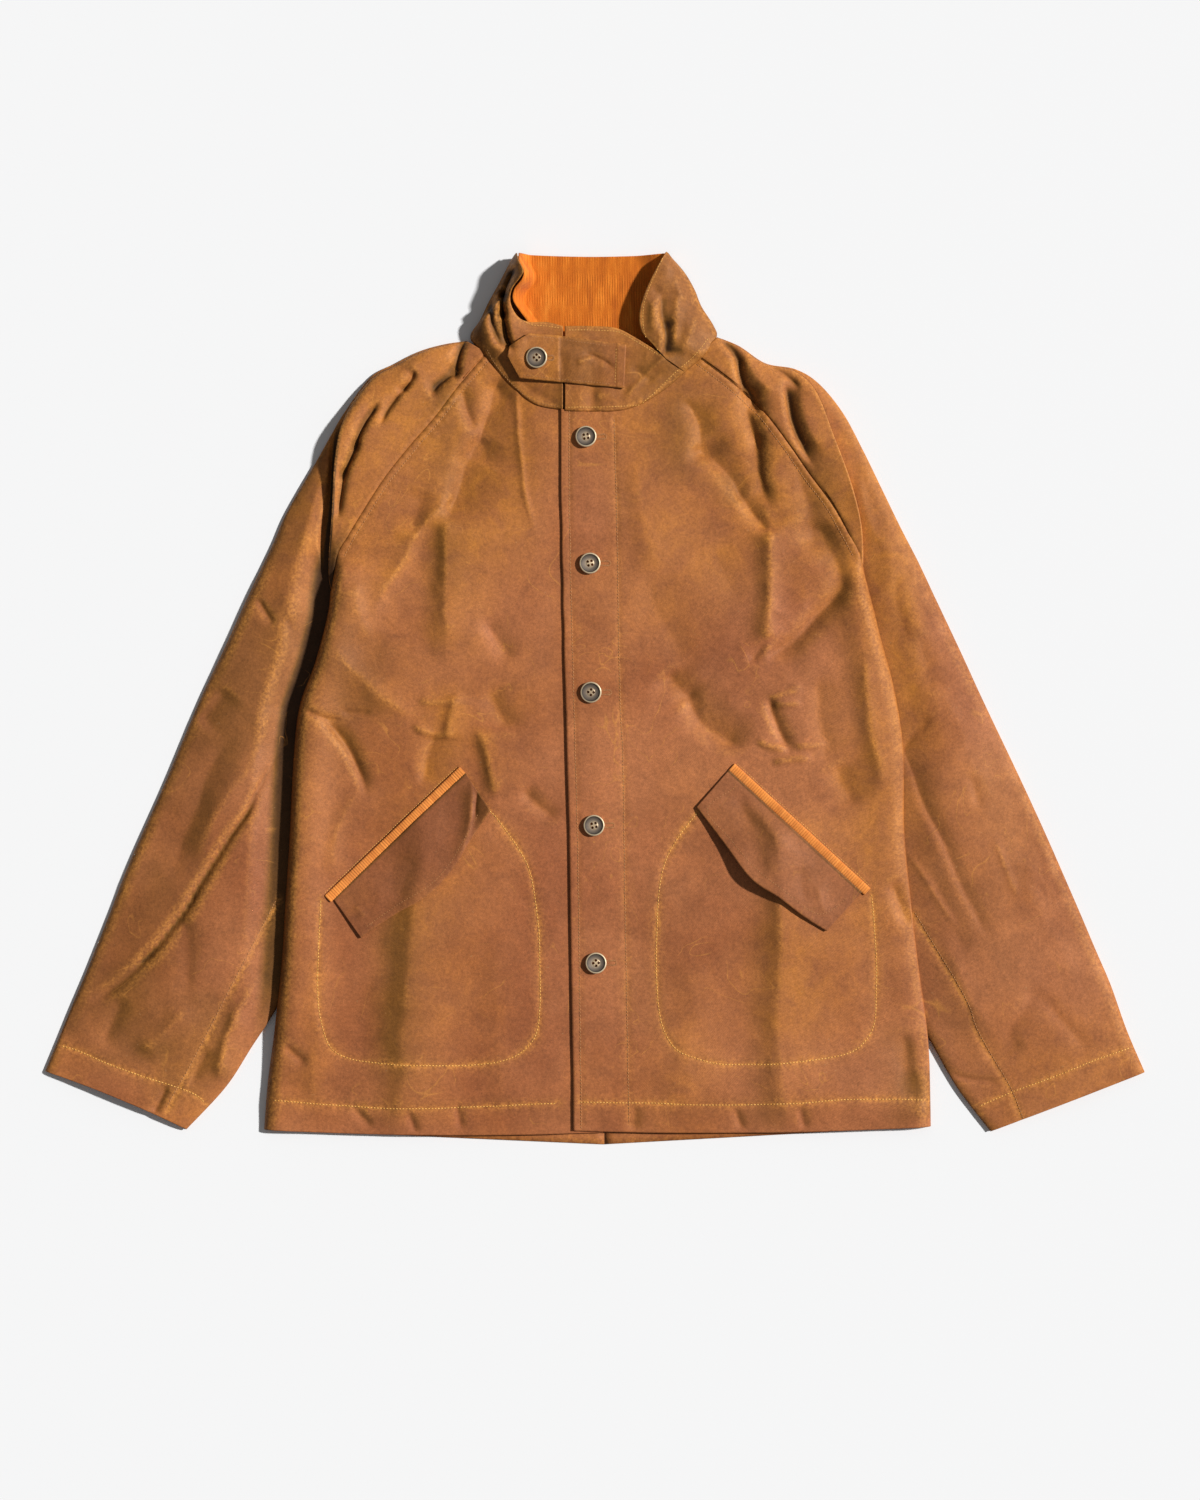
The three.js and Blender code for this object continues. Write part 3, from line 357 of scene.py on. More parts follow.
def crumples(x, y):
    """Small crumples, stronger towards the shoulders and sides than in the middle."""
    calm = 0.5 + 0.25 * smooth(-150, 260, y) + 0.25 * smooth(120, 330, np.abs(x))
    patchy = 0.55 + 0.65 * noise(x, y, 90, 21)
    fine = 0.16 * crumple(x, y, 10, 24) + 0.42 * crumple(x, y, 25, 27)
    return calm * patchy * (fine + 0.7 * crumple(x, y, 60, 30)) + 0.9 * noise(x, y, 75, 33)


def held_above(height, lowest):
    """The height, eased so that it never comes below the lowest one."""
    return np.where(height < lowest + 1, lowest + np.exp(height - lowest - 1), height)


def loft(x, y):
    """Middle height of the fronts and of the shoulder caps."""
    puffed = PUFF * smooth(345, 250, y) * smooth(-432, -370, y) * smooth(330, 260, np.abs(x))
    height = BODY_LOFT + puffed - HEM_FALL * smooth(-398, -440, y) * (np.abs(x) < 345)
    for cx, cy, radius, high in zip(*SWELLS.values()):
        height = height + high * np.exp(-((x - cx) ** 2 + (y - cy) ** 2) / radius ** 2)
    height = height + FOLD_GAIN * crease_height(x, y, BODY_CREASES)
    height = height + crease_height(x, y, SLEEVE_CREASES)
    side = smooth(190, 230, np.abs(x)) * smooth(170, 140, y)
    return held_above(height + crumples(x, y), LOWEST_MIDDLE + (LOWEST_SIDE - LOWEST_MIDDLE) * side)


# %% [markdown]
# ## Seams and their stitches
#
# Waxed cotton wears pale where a needle went through it, and the cloth puckers along each row of
# stitches. So the rows of stitches are named first, and the cloth reads how near each one is.

# %% Rows of stitches, as points that a smooth line passes through
RAGLAN_RIGHT = [(-105, 345), (-133, 312), (-158, 279), (-182, 251), (-207, 219), (-231, 182),
                (-243, 162), (-254, 142)]
RAGLAN_LEFT = [(104, 342), (123, 328), (147, 309), (171, 286), (196, 253), (219, 221),
               (239, 194), (254, 168), (267, 143)]
FRONT_EDGE = [(-31, 289), (-31, 202), (-29, 93), (-26, -21), (-23, -132), (-21, -265), (-19, -431)]
PLACKET = [(22, 280), (25, 170), (27, 44), (29, -25), (31, -63), (33, -205), (35, -315), (37, -425)]
HEM_RIGHT = [(-319, -400), (-224, -407), (-158, -408), (-33, -403)]
HEM_LEFT = [(-14, -402), (62, -403), (121, -405), (198, -403), (261, -399), (337, -400)]
BAG_RIGHT = [(-270, -199), (-272, -248), (-273, -287), (-270, -319), (-261, -346), (-242, -358),
             (-210, -363), (-171, -365), (-130, -365), (-95, -362), (-72, -353), (-56, -335),
             (-52, -307), (-52, -259), (-54, -220), (-61, -176), (-72, -151), (-95, -119),
             (-105, -108), (-125, -80)]
BAG_LEFT = [(278, -193), (281, -225), (283, -259), (283, -293), (281, -323), (271, -342),
            (255, -353), (223, -359), (189, -363), (157, -364), (129, -364), (104, -358),
            (85, -350), (73, -333), (66, -305), (64, -264), (65, -220), (68, -183), (74, -160),
            (88, -135), (106, -112)]
CUFF_RIGHT = [(-531, -346), (-511, -352), (-480, -365), (-447, -377), (-424, -384), (-396, -395),
              (-385, -405)]
CUFF_LEFT = [(538, -348), (506, -359), (478, -370), (442, -384), (417, -393), (384, -408)]
UNDERARM_RIGHT = [(-313, -201), (-385, -341), (-411, -388), (-424, -412)]
UNDERARM_LEFT = [(319, -213), (370, -299), (382, -331), (415, -388), (429, -422)]


def curve_points(points, step=2.0):
    """Points close together on a smooth line through the given ones."""
    points = np.array(points, float)
    gaps = np.hypot(*np.diff(points, axis=0).T)
    places = [i + k / max(1, round(gap / step))
              for i, gap in enumerate(gaps) for k in range(max(1, round(gap / step)))]
    places = np.array(places + [len(points) - 1])
    return np.stack([along(points[:, 0], places), along(points[:, 1], places)], axis=1)


def beside(points, offset):
    """The smooth line moved to its right by offset."""
    line = curve_points(points, 8.0)
    run = np.gradient(line, axis=0)
    run /= np.hypot(run[:, 0], run[:, 1])[:, None]
    return line + offset * np.stack([run[:, 1], -run[:, 0]], axis=1)


SEAM_LINES = {
    "raglan_right": RAGLAN_RIGHT, "raglan_right_top": beside(RAGLAN_RIGHT, -6.5),
    "raglan_left": RAGLAN_LEFT, "raglan_left_top": beside(RAGLAN_LEFT, 6.5),
    "front_edge": beside(FRONT_EDGE, -8.5), "placket": PLACKET,
    "hem_right": HEM_RIGHT, "hem_left": HEM_LEFT,
    "bag_right": BAG_RIGHT, "bag_left": BAG_LEFT,
    "cuff_right": CUFF_RIGHT, "cuff_left": CUFF_LEFT,
    "underarm_right": UNDERARM_RIGHT, "underarm_left": UNDERARM_LEFT,
}

SEAM_WEAR = {"raglan_right": 0.1, "raglan_right_top": 0.25, "raglan_left": 0.35,
             "raglan_left_top": 0.25, "front_edge": 0.15, "placket": 0.4,
             "underarm_right": 0.95, "underarm_left": 0.95}
PUCKER, SEAM_DIP = 0.26, 0.45
print("rows of stitches that pucker the cloth", len(SEAM_LINES))

# %% How near each point is to a row of stitches


def near_seams(x, y, names, reach=26.0):
    """Pucker height and wear at each point, from the rows of stitches close to it."""
    pucker, wear = np.zeros_like(x), np.zeros_like(x)
    for number, name in enumerate(names):
        line = curve_points(SEAM_LINES[name], 6.0)
        low, high = line.min(axis=0) - reach, line.max(axis=0) + reach
        inside = (x > low[0]) & (x < high[0]) & (y > low[1]) & (y < high[1])
        px, py = x[inside], y[inside]
        best, run = np.full(px.shape, np.inf), np.zeros(px.shape)
        length = 0.0
        for start, end in zip(line[:-1], line[1:]):
            step = end - start
            size = math.hypot(*step)
            t = np.clip(((px - start[0]) * step[0] + (py - start[1]) * step[1]) / size ** 2, 0, 1)
            gap = np.hypot(px - start[0] - t * step[0], py - start[1] - t * step[1])
            closer = gap < best
            best = np.where(closer, gap, best)
            run = np.where(closer, length + t * size, run)
            length += size
        own = run * 0 + number
        waves = np.sin(run / 1.5 + 3 * noise(run, own, 22, 41))
        waves *= 0.6 + 0.6 * noise(run, own, 40, 43)
        pucker[inside] += PUCKER * waves * bell(best, 7) - SEAM_DIP * bell(best, 2.2)
        worn = (0.75 + 0.5 * noise(run, own, 30, 47)) * SEAM_WEAR.get(name, 0.95)
        rubbed = bell(best, 2.3) + 0.34 * bell(best, 7)
        wear[inside] = np.maximum(wear[inside], worn * rubbed)
    return pucker, wear


# %% [markdown]
# ## Waxed cotton
#
# Waxed cotton is a close plain weave soaked in wax. It is tan where the wax lies even, and
# turns pale gold where a ridge or a seam was rubbed and the wax broke. The sheet carries that
# as an attribute called `rub`, and noise breaks it into streaks and chalk marks. An attribute
# called `deep` carries painted shade: olive on folds turned from the lamp, black in the deepest gaps.

# %% Painting with nodes


class Paint:
    """A new material, with short ways to add nodes to it."""

    def __init__(self, name):
        self.material = bpy.data.materials.new(name)
        self.material.use_nodes = True
        self.nodes, self.links = self.material.node_tree.nodes, self.material.node_tree.links
        self.coords = self.nodes.new("ShaderNodeTexCoord").outputs["Object"]

    def give(self, socket, value):
        """Sets a socket to a number or a colour, or links another socket to it."""
        if isinstance(value, (int, float)):
            socket.default_value = value
        elif isinstance(value, tuple):
            socket.default_value = (*value, 1.0)
        elif value is not None:
            self.links.new(value, socket)

    def add(self, kind, **values):
        """A new node, with a value for each named input."""
        node = self.nodes.new("ShaderNode" + kind)
        for name, value in values.items():
            self.give(node.inputs[name], value)
        return node

    def math(self, kind, first, second=None, clamp=False):
        node = self.nodes.new("ShaderNodeMath")
        node.operation, node.use_clamp = kind, clamp
        self.give(node.inputs[0], first)
        self.give(node.inputs[1], second)
        return node.outputs[0]

    def times(self, first, second, clamp=False):
        return self.math("MULTIPLY", first, second, clamp)

    def noise(self, scale, detail=4.0, rough=0.55, warp=0.0, vector=None):
        node = self.add("TexNoise", Scale=scale, Detail=detail, Roughness=rough, Distortion=warp,
                        Vector=self.coords if vector is None else vector)
        return node.outputs["Fac"]

    def ramp(self, value, *stops):
        """A colour or a grey at each stop, and what lies between."""
        node = self.add("ValToRGB", Fac=value)
        while len(node.color_ramp.elements) < len(stops):
            node.color_ramp.elements.new(0.5)
        for element, (at, colour) in zip(node.color_ramp.elements, stops):
            colour = colour if isinstance(colour, tuple) else (colour,) * 3
            element.position, element.color = at, (*colour, 1.0)
        return node.outputs["Color"]

    def mix(self, share, first, second, kind="MIX"):
        node = self.nodes.new("ShaderNodeMix")
        node.data_type, node.blend_type = "RGBA", kind
        for number, value in ((0, share), (6, first), (7, second)):
            self.give(node.inputs[number], value)
        return node.outputs[2]

    def shaded(self, colour, value, low, high):
        """The colour, darker or lighter by a grey that follows the value."""
        return self.mix(1.0, colour, self.ramp(value, low, high), "MULTIPLY")

    def attribute(self, name):
        node = self.nodes.new("ShaderNodeAttribute")
        node.attribute_name = name
        return node.outputs["Fac"]

    def layer(self, name):
        node = self.nodes.new("ShaderNodeUVMap")
        node.uv_map = name
        return node.outputs["UV"]

    def slanting_lines(self, vector, scale, warp=0.0):
        node = self.add("TexWave", Scale=scale, Distortion=warp, Vector=vector)
        node.bands_direction = "DIAGONAL"
        return node.outputs["Fac"]

    def bump(self, height, strength, depth, under=None):
        node = self.add("Bump", Strength=strength, Distance=depth, Height=height, Normal=under)
        return node.outputs["Normal"]

    def surface(self, **values):
        """The material, with values for the shader's inputs; _ stands for a space in a name."""
        shader = self.nodes["Principled BSDF"]
        for name, value in values.items():
            self.give(shader.inputs[name.replace("_", " ")], value)
        return self.material


# %% Waxed cotton
TAN, RUST = (0.400, 0.138, 0.050), (0.290, 0.088, 0.030)
GOLD, OLIVE_SHADE, BLACK_SHADOW = (0.44, 0.160, 0.024), (0.18, 0.072, 0.012), (0.03, 0.013, 0.006)
CHALK, SPECK = (0.62, 0.255, 0.050), (0.5, 0.29, 0.13)


def waxed_cotton(name="waxed_cotton", darker=1.0):
    """Wax-soaked cotton: tan and rust, golden where it is worked and partly painted sheen, with painted
    shade, olive and black, in its folds.
    """
    paint = Paint(name)
    rub, tone, deep = (paint.attribute(label) for label in ("rub", "tone", "deep"))
    streak = paint.noise(38.0, 6.0, 0.62, 0.5)
    mottle = paint.noise(330.0, 4.0, 0.62)
    grain = paint.noise(1100.0, 2.0, 0.7)
    colour = paint.ramp(paint.noise(7.0, 3.0), (0.34, RUST), (0.62, TAN))
    streaky = paint.math("ADD", paint.times(streak, 1.6), -0.22, True)
    colour = paint.mix(paint.times(tone, streaky, True), colour, GOLD)
    # Painted shade: olive on fold sides turned from the lamp, black in the deepest gaps.
    colour = paint.mix(paint.times(deep, 0.85, True), colour, OLIVE_SHADE)
    colour = paint.mix(paint.math("SUBTRACT", deep, 1.0, True), colour, BLACK_SHADOW)
    broken = paint.math("ADD", paint.times(mottle, 3.0), -0.95, True)
    scuff = paint.times(rub, broken, True)
    colour = paint.mix(paint.times(scuff, 0.8), colour, CHALK)
    vein = paint.math("ABSOLUTE", paint.math("SUBTRACT", paint.noise(11.0, 2.0, 0.5, 1.6), 0.5))
    scratch = paint.ramp(vein, (0.0, 0.42), (0.007, 0.0))
    patch = paint.ramp(paint.noise(22.0, 2.0), (0.52, 0.0), (0.62, 1.0))
    colour = paint.mix(paint.times(scratch, patch), colour, CHALK)
    speck = paint.math("GREATER_THAN", paint.noise(260.0, 2.0), 0.745)
    colour = paint.mix(paint.times(speck, 0.22), colour, SPECK)
    colour = paint.shaded(colour, mottle, (0.3, 0.82), (0.7, 1.16))
    colour = paint.shaded(colour, streak, (0.32, 0.86), (0.68, 1.14))
    colour = paint.shaded(colour, grain, (0.3, 0.80 * darker), (0.7, 1.18 * darker))
    rough = paint.ramp(streak, (0.3, 0.68), (0.75, 0.54))
    weave = paint.slanting_lines(paint.layer("cloth"), 380.0, 1.5)
    normal = paint.bump(paint.noise(62.0, 5.0, 0.55, 0.4), 0.5, 0.0013)
    normal = paint.bump(weave, 0.3, 0.0002, normal)
    normal = paint.bump(mottle, 0.3, 0.0003, normal)
    return paint.surface(Base_Color=colour, Roughness=rough, Specular_IOR_Level=0.2, Normal=normal)


COTTON_PAINT = waxed_cotton()
COTTON = (CLOTH, COTTON_PAINT, "waxed_cotton")
print("material", COTTON_PAINT.name)

# %% [markdown]
# ## From a grid to a sheet of cloth
#
# A sheet starts as one surface of four-sided faces, with the flat cloth's own lengths as its UV
# map. Solidify gives it thickness to both sides. Curvature of the grid says where a ridge is
# rubbed: a point that stands above the average of its neighbours.

# %% Wear, tone and painted shade, point by point


def blurred(values, times):
    """Each value replaced by the mean of its four neighbours, as often as times says."""
    for _ in range(times):
        padded = np.pad(values, 1, mode="edge")
        values = (padded[:-2, 1:-1] + padded[2:, 1:-1] + padded[1:-1, :-2] + padded[1:-1, 2:]) / 4
    return values


def rubbed_ridges(z):
    """Wear where the cloth is bent most: on the sharp tops of its creases."""
    return np.clip((z - blurred(z, 5) - 0.10) * 1.5, 0, 0.6)


def painted_fold_shade(x, y, z):
    """Painted shade: how much each point lies on the side of a fold turned from the lamp, which the
    material paints olive.
    """
    (x_down, x_across), (y_down, y_across), (z_down, z_across) = map(np.gradient, (x, y, z))
    turn = x_across * y_down - x_down * y_across
    turn = np.where(np.abs(turn) < 0.02, np.copysign(0.02, turn), turn)
    slope_x = (z_across * y_down - z_down * y_across) / turn
    slope_y = (x_across * z_down - x_down * z_across) / turn
    rise = slope_x * math.cos(LAMP_TURN) + slope_y * math.sin(LAMP_TURN)
    return np.clip(blurred(rise, 1) * 2.2 - 0.10, 0, 0.95)


# Stretches of painted shade and stain, a row each: a positive height darkens towards olive, partly painted
# shade in folds and under the collar, partly darker stretches of the coat; a negative height paints golden
# highlights and patches.
SHADE_AND_STAINS = table(
    "x1 y1 x2 y2 bend left right high",
    (-330, 120, -470, -330, 0, 64, 64, 0.44), (-142, 299, -137, 99, 4, 22, 22, 0.38),
    (-187, -181, -197, -391, 3, 24, 20, 0.85), (88, 359, 88, 229, 0, 25, 25, 0.30),
    (290, -330, 330, -400, 0, 22, 22, 0.35), (-385, -290, -375, -385, 0, 28, 28, 0.40),
    (-147, 9, -142, -151, 0, 18, 18, -0.7), (278, 219, 338, -61, 0, 24, 24, -0.6),
    (-205, 60, -235, -20, 0, 26, 26, 0.30), (60, -190, 50, -330, 0, 40, 30, 0.15),
    (-60, 330, -75, 160, 4, 14, 14, -0.3), (-250, 190, -235, 120, 0, 16, 16, -0.3),
    (76, 300, 96, 210, 0, 22, 22, 0.30), (220, 200, 240, 130, 0, 18, 18, 0.35),
    (390, -50, 430, -200, 0, 26, 26, 0.18), (0, -160, 0, -400, 0, 26, 26, -0.12),
    (62, 190, 150, 90, 0, 40, 40, -0.35), (196, 140, 214, 96, 0, 20, 20, -0.45),
    (370, -170, 420, -300, 0, 30, 30, 0.14), (-242, 120, -250, -70, 0, 24, 24, 0.38),
    (-298, 90, -350, -70, 0, 30, 30, 0.34), (-480, -270, -440, -360, 0, 46, 46, 0.42),
    (-150, 318, -144, 286, 0, 18, 18, 0.6), (134, 226, 140, 190, 0, 20, 20, 0.5),
    (228, 240, 234, 190, 0, 18, 18, 0.3), (320, -370, 332, -420, 0, 22, 22, 0.6),
    (-430, -340, -412, -405, 0, 28, 28, 0.5), (30, 330, 60, 322, 0, 18, 18, 0.2),
)


def painted_shade_and_stains(x, y, z, falls=0.0):
    """Painted shade on fold sides turned from the lamp, with the listed stretches of painted shade and
    stain, and painted black in the deepest creases: above 1 it goes black.
    """
    gathered = painted_fold_shade(x, y, z) + np.clip(crease_height(x, y, SHADE_AND_STAINS), -1, 1)
    return np.clip(gathered, 0, 1) + np.clip((-falls - 2.8) * 0.32, 0, 0.9)


def gold_tone(x, y):
    """How golden the cloth is: most at the shoulders, at the neck, at the sides and creases, where the
    gold is partly painted sheen.
    """
    high = 0.85 * smooth(60, 280, y) * (1 - 0.55 * bell(x + 20, 55))
    side = 0.5 * smooth(225, 290, np.abs(x)) * smooth(-420, -150, y) * smooth(345, 300, np.abs(x))
    # Gold on the creases: partly the wax's wear, partly painted sheen.
    worked = np.clip(np.abs(crease_height(x, y, BODY_CREASES)) * 0.16, 0, 0.5)
    cuffs = 0.35 * smooth(-250, -380, y) * smooth(340, 400, np.abs(x))
    # Painted highlights: golden where a listed stretch has a negative height.
    light = np.clip(-crease_height(x, y, SHADE_AND_STAINS), 0, 1)
    return np.clip(0.06 + high + side + worked + cuffs + light + 0.35 * noise(x, y, 95, 51), 0, 1)


# %% From points to faces


def grid_mesh(name, grid):
    """Four-sided faces through the grid's points, with the flat cloth's lengths as UV map."""
    rows, columns = grid.shape[:2]
    index = np.arange(rows * columns).reshape(rows, columns)
    faces = np.stack([index[:-1, :-1], index[1:, :-1], index[1:, 1:], index[:-1, 1:]], axis=-1)
    faces = faces.reshape(-1, 4)
    across, down = grid[0, -1] - grid[0, 0], grid[0, 0] - grid[-1, 0]
    if np.cross(across[:2], down[:2]) < 0:
        faces = faces[:, ::-1]
    mesh = bpy.data.meshes.new(name)
    mesh.from_pydata(place(grid.reshape(-1, 3)).tolist(), [], faces.tolist())
    run_across = np.cumsum(np.linalg.norm(np.diff(grid, axis=1, prepend=grid[:, :1]), axis=2), axis=1)
    run_down = np.cumsum(np.linalg.norm(np.diff(grid, axis=0, prepend=grid[:1]), axis=2), axis=0)
    flat = np.stack([run_across - run_across.mean(axis=1, keepdims=True), run_down], axis=-1)
    loops = np.zeros(len(mesh.loops), dtype=int)
    mesh.loops.foreach_get("vertex_index", loops)
    layer = mesh.uv_layers.new(name="cloth")
    layer.data.foreach_set("uv", (flat.reshape(-1, 2)[loops] * MM).ravel())
    return mesh


def cut_area(grid):
    """Area of the sheet in square metres, with its creases smoothed out."""
    calm = grid.copy()
    calm[..., 2] = blurred(grid[..., 2], 40)
    a, b = calm[1:, 1:] - calm[:-1, :-1], calm[:-1, 1:] - calm[1:, :-1]
    return float(np.linalg.norm(np.cross(a, b), axis=-1).sum() / 2 * MM * MM)


# %% Sheet maker


def sheet_piece(name, points, marks, stuff=COTTON, node=None):
    """A sheet through points in millimetres, marked with its rub, tone and deep; the area of its cut is
    worked out but not kept.
    """
    grid = np.stack(points, axis=-1)
    thickness, paint, slot_name = stuff
    mesh = grid_mesh(name, grid)
    for label, values in zip(("rub", "tone", "deep"), (*marks, 0.0, 0.0)):
        values = np.zeros(grid.shape[:2]) + values
        mesh.attributes.new(label, "FLOAT", "POINT").data.foreach_set("value", values.ravel())
    piece = add_to_scene(name, mesh)
    bpy.context.view_layer.objects.active = piece
    wall = piece.modifiers.new("wall", "SOLIDIFY")
    wall.thickness, wall.offset = thickness * MM, 0.0
    bpy.ops.object.modifier_apply(modifier=wall.name)
    mesh = piece.data
    mesh.polygons.foreach_set("use_smooth", np.ones(len(mesh.polygons), dtype=bool))
    mesh.materials.append(paint)
    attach(piece, "root")
    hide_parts(node or name.split("_", 1)[1])
    area = cut_area(grid)
    return piece


# %% [markdown]
# ## Backs
#
# The two halves of the back lie on the ground, joined down the middle. At the sides they rise
# over the sleeves that lie under them. Only their hem and neck show from above, so a coarse
# grid will do.

# %% Body sections
FRONT_RIGHT = table(
    "x1 y1 x2 y2 bow",
    (-105, 345, -2, 288, 19), (-133, 312, 0, 259, 8), (-158, 279, 0, 227, 4),
    (-182, 251, 0, 199, 1), (-207, 219, 1, 169, 0), (-231, 182, 1, 141, 0),
    (-243, 162, 1, 126, 0), (-254, 142, 2, 111, 0), (-260, 109, 2, 87, 0),
    (-263, 84, 2, 67, 0), (-275, 38, 3, 29, 0), (-291, -8, 4, -11, 0),
    (-297, -61, 5, -63, 0), (-301, -138, 7, -139, 0), (-305, -201, 8, -202, 0),
    (-309, -265, 9, -266, 0), (-316, -329, 10, -329, 0), (-323, -380, 11, -381, 2),
    (-327, -430, 11, -433, 4),
)
FRONT_LEFT = table(
    "x1 y1 x2 y2 bow",
    (104, 342, -31, 289, 23), (123, 328, -31, 259, 15), (147, 309, -31, 231, 9),
    (171, 286, -31, 202, 5), (196, 253, -30, 172, 2), (219, 221, -30, 143, 0),
    (239, 194, -29, 117, 0), (254, 168, -29, 93, 0), (267, 143, -28, 69, 0),
    (276, 109, -28, 47, 0), (288, 59, -27, 14, 0), (301, 9, -26, -21, 0),
    (310, -51, -25, -66, 0), (311, -132, -23, -132, 0), (318, -205, -22, -205, 0),
    (325, -265, -21, -265, 0), (334, -331, -20, -331, 0), (337, -381, -19, -381, 2),
    (338, -427, -19, -431, 4),
)
LIFT_RIGHT = table("y share", (145, 0), (80, 1), (-310, 1), (-375, 0))
LIFT_LEFT = table("y share", (140, 0), (75, 1), (-345, 1), (-400, 0))
SIDE_LIFT, SIDE_BULGE, LIFT_REACH, ROLL_REACH = 7.5, 2.5, 60.0, 14.0
STAND_RIGHT = table("y share", (150, 0), (105, 1), (-60, 1.0), (-300, 0.7), (-385, 0.0))
STAND_LEFT = table("y share", (150, 0), (95, 0.3), (-60, 0.2), (-370, 0.0))
SIDE_STAND = 6.5
print("sections of a front", len(FRONT_RIGHT["x1"]), "and", len(FRONT_LEFT["x1"]))


def lift_at(rows, y):
    """Share of the sleeve's lift under the side seam, at each height."""
    top, full, last, bottom = rows["y"]
    return smooth(top, full, y) * (1 - smooth(last, bottom, y))


# %% Backs
BACK_STEP, BACK_POINTS = 9, 36


def make_back(name, rows, lift_rows):
    """One half of the back, from its side to the centre-back seam."""
    inner = CENTRE_BACK + SEAM / 2 * np.sign(rows["x1"][0])
    fall = (rows["y1"] - rows["y1"][0]) / (rows["y1"][-1] - rows["y1"][0])
    back_rows = {"x1": rows["x1"], "y1": rows["y1"], "x2": np.full_like(fall, inner),
                 "y2": BACK_NECK + fall * (BACK_HEM - BACK_NECK), "bow": 0 * fall}
    shares = even_shares(BACK_POINTS)
    x, y, long = grid_on(sections_of(back_rows, BACK_STEP), shares)
    z = FLOOR_LAYER + SIDE_LIFT * lift_at(lift_rows, y) * (1 - smooth(0, LIFT_REACH, shares * long))
    sheet_piece(name, (x, y, z), (0.6 * smooth(-434, -444, y), 0.3))


make_back("cloth_back_right", FRONT_RIGHT, LIFT_RIGHT)
make_back("cloth_back_left", FRONT_LEFT, LIFT_LEFT)

# %% [markdown]
# ## Fronts
#
# The fronts carry most of what is seen. Their grid is fine, about 2.3 mm, so that creases and
# puckers are real relief that throws real shadow. The side seam is a rounded fold, and the left
# front laps over the right one at the buttons.

# %% Fronts
LAP_DOWN, LAP_UP, LAP_FULL, LAP_ENDS = -1.6, 0.6, 28.0, 62.0
FINE, FRONT_WIDE = 2.35, 335
EDGE_DROP, EDGE_REACH = 0.9, 1.2


def edged(count):
    """Shares from 0 to 1, with two close together at the first end, for a seam's edge."""
    return np.concatenate([[0, 0.004], np.linspace(0.009, 1, count)])[None, :]


def edge_drop(distance):
    """How far the cloth sinks towards a seam's edge, at each distance from it."""
    return EDGE_DROP * np.exp(-distance / EDGE_REACH)


def stand_at(rows, y):
    """Share of the height that the side edge stands above the sleeve, at each height."""
    return np.interp(-y, -rows["y"], rows["share"])


def front_height(x, y, from_side, lift_rows, stand_rows):
    """Middle height of a front, rolled down at the side seam."""
    open_side = 1 - smooth(120, 150, y)
    stand = SIDE_STAND * stand_at(stand_rows, y)
    bulge = (SIDE_BULGE + stand) * bell(from_side - 14, 22) * open_side
    top = loft(x, y) + bulge
    edge = SECOND_LAYER + 2 * SEAM + SIDE_LIFT * lift_at(lift_rows, y)
    reach = ROLL_REACH - 5 * stand_at(stand_rows, y)
    return top + (edge - top) * (1 - roll(from_side / reach)) * open_side


def make_front(name, rows, lift_rows, stand_rows, lap, seams):
    """A front from its side to its buttoned edge, with creases, puckers and wear, painted shade in its
    folds, and on the left front a painted highlight along the side fold.
    """
    shares = edged(round(FRONT_WIDE / FINE))
    x, y, long = grid_on(sections_of(rows, FINE), shares)
    from_side, from_middle = shares * long, (1 - shares) * long
    pucker, wear = near_seams(x, y, seams)
    lapped = lap * (1 - smooth(LAP_FULL, LAP_ENDS, from_middle))
    z = front_height(x, y, from_side, lift_rows, stand_rows) + lapped + pucker
    rub = np.clip(np.maximum(wear, rubbed_ridges(z)), 0, 1)
    # Painted highlight: pale gold along the left front's side fold, which faces the lamp.
    side_highlight = 0.5 * bell(from_side - 5, 4.5) * smooth(130, 100, y) * (x > 0)
    rub = np.maximum(rub, side_highlight * (0.7 + 0.6 * noise(x, y, 22, 52)))
    z = z - edge_drop(from_side) * smooth(135, 160, y)
    return sheet_piece(name, (x, y, z), (rub, gold_tone(x, y), painted_shade_and_stains(x, y, z)))


front_right = make_front("cloth_front_right", FRONT_RIGHT, LIFT_RIGHT, STAND_RIGHT, LAP_DOWN,
                         ["raglan_right", "raglan_right_top", "hem_right", "bag_right"])
front_left = make_front("cloth_front_left", FRONT_LEFT, LIFT_LEFT, STAND_LEFT, LAP_UP,
                        ["raglan_left", "raglan_left_top", "front_edge", "placket", "hem_left",
                         "bag_left"])

# %% [markdown]
# ## Sleeves
#
# A raglan sleeve is a tube cut in one with the shoulder. Laid flat it has a layer under and a
# layer on top. On the top layer the shoulder cap stands high beside the body and ends in a deep
# fold, from under which the outer sleeve comes out.

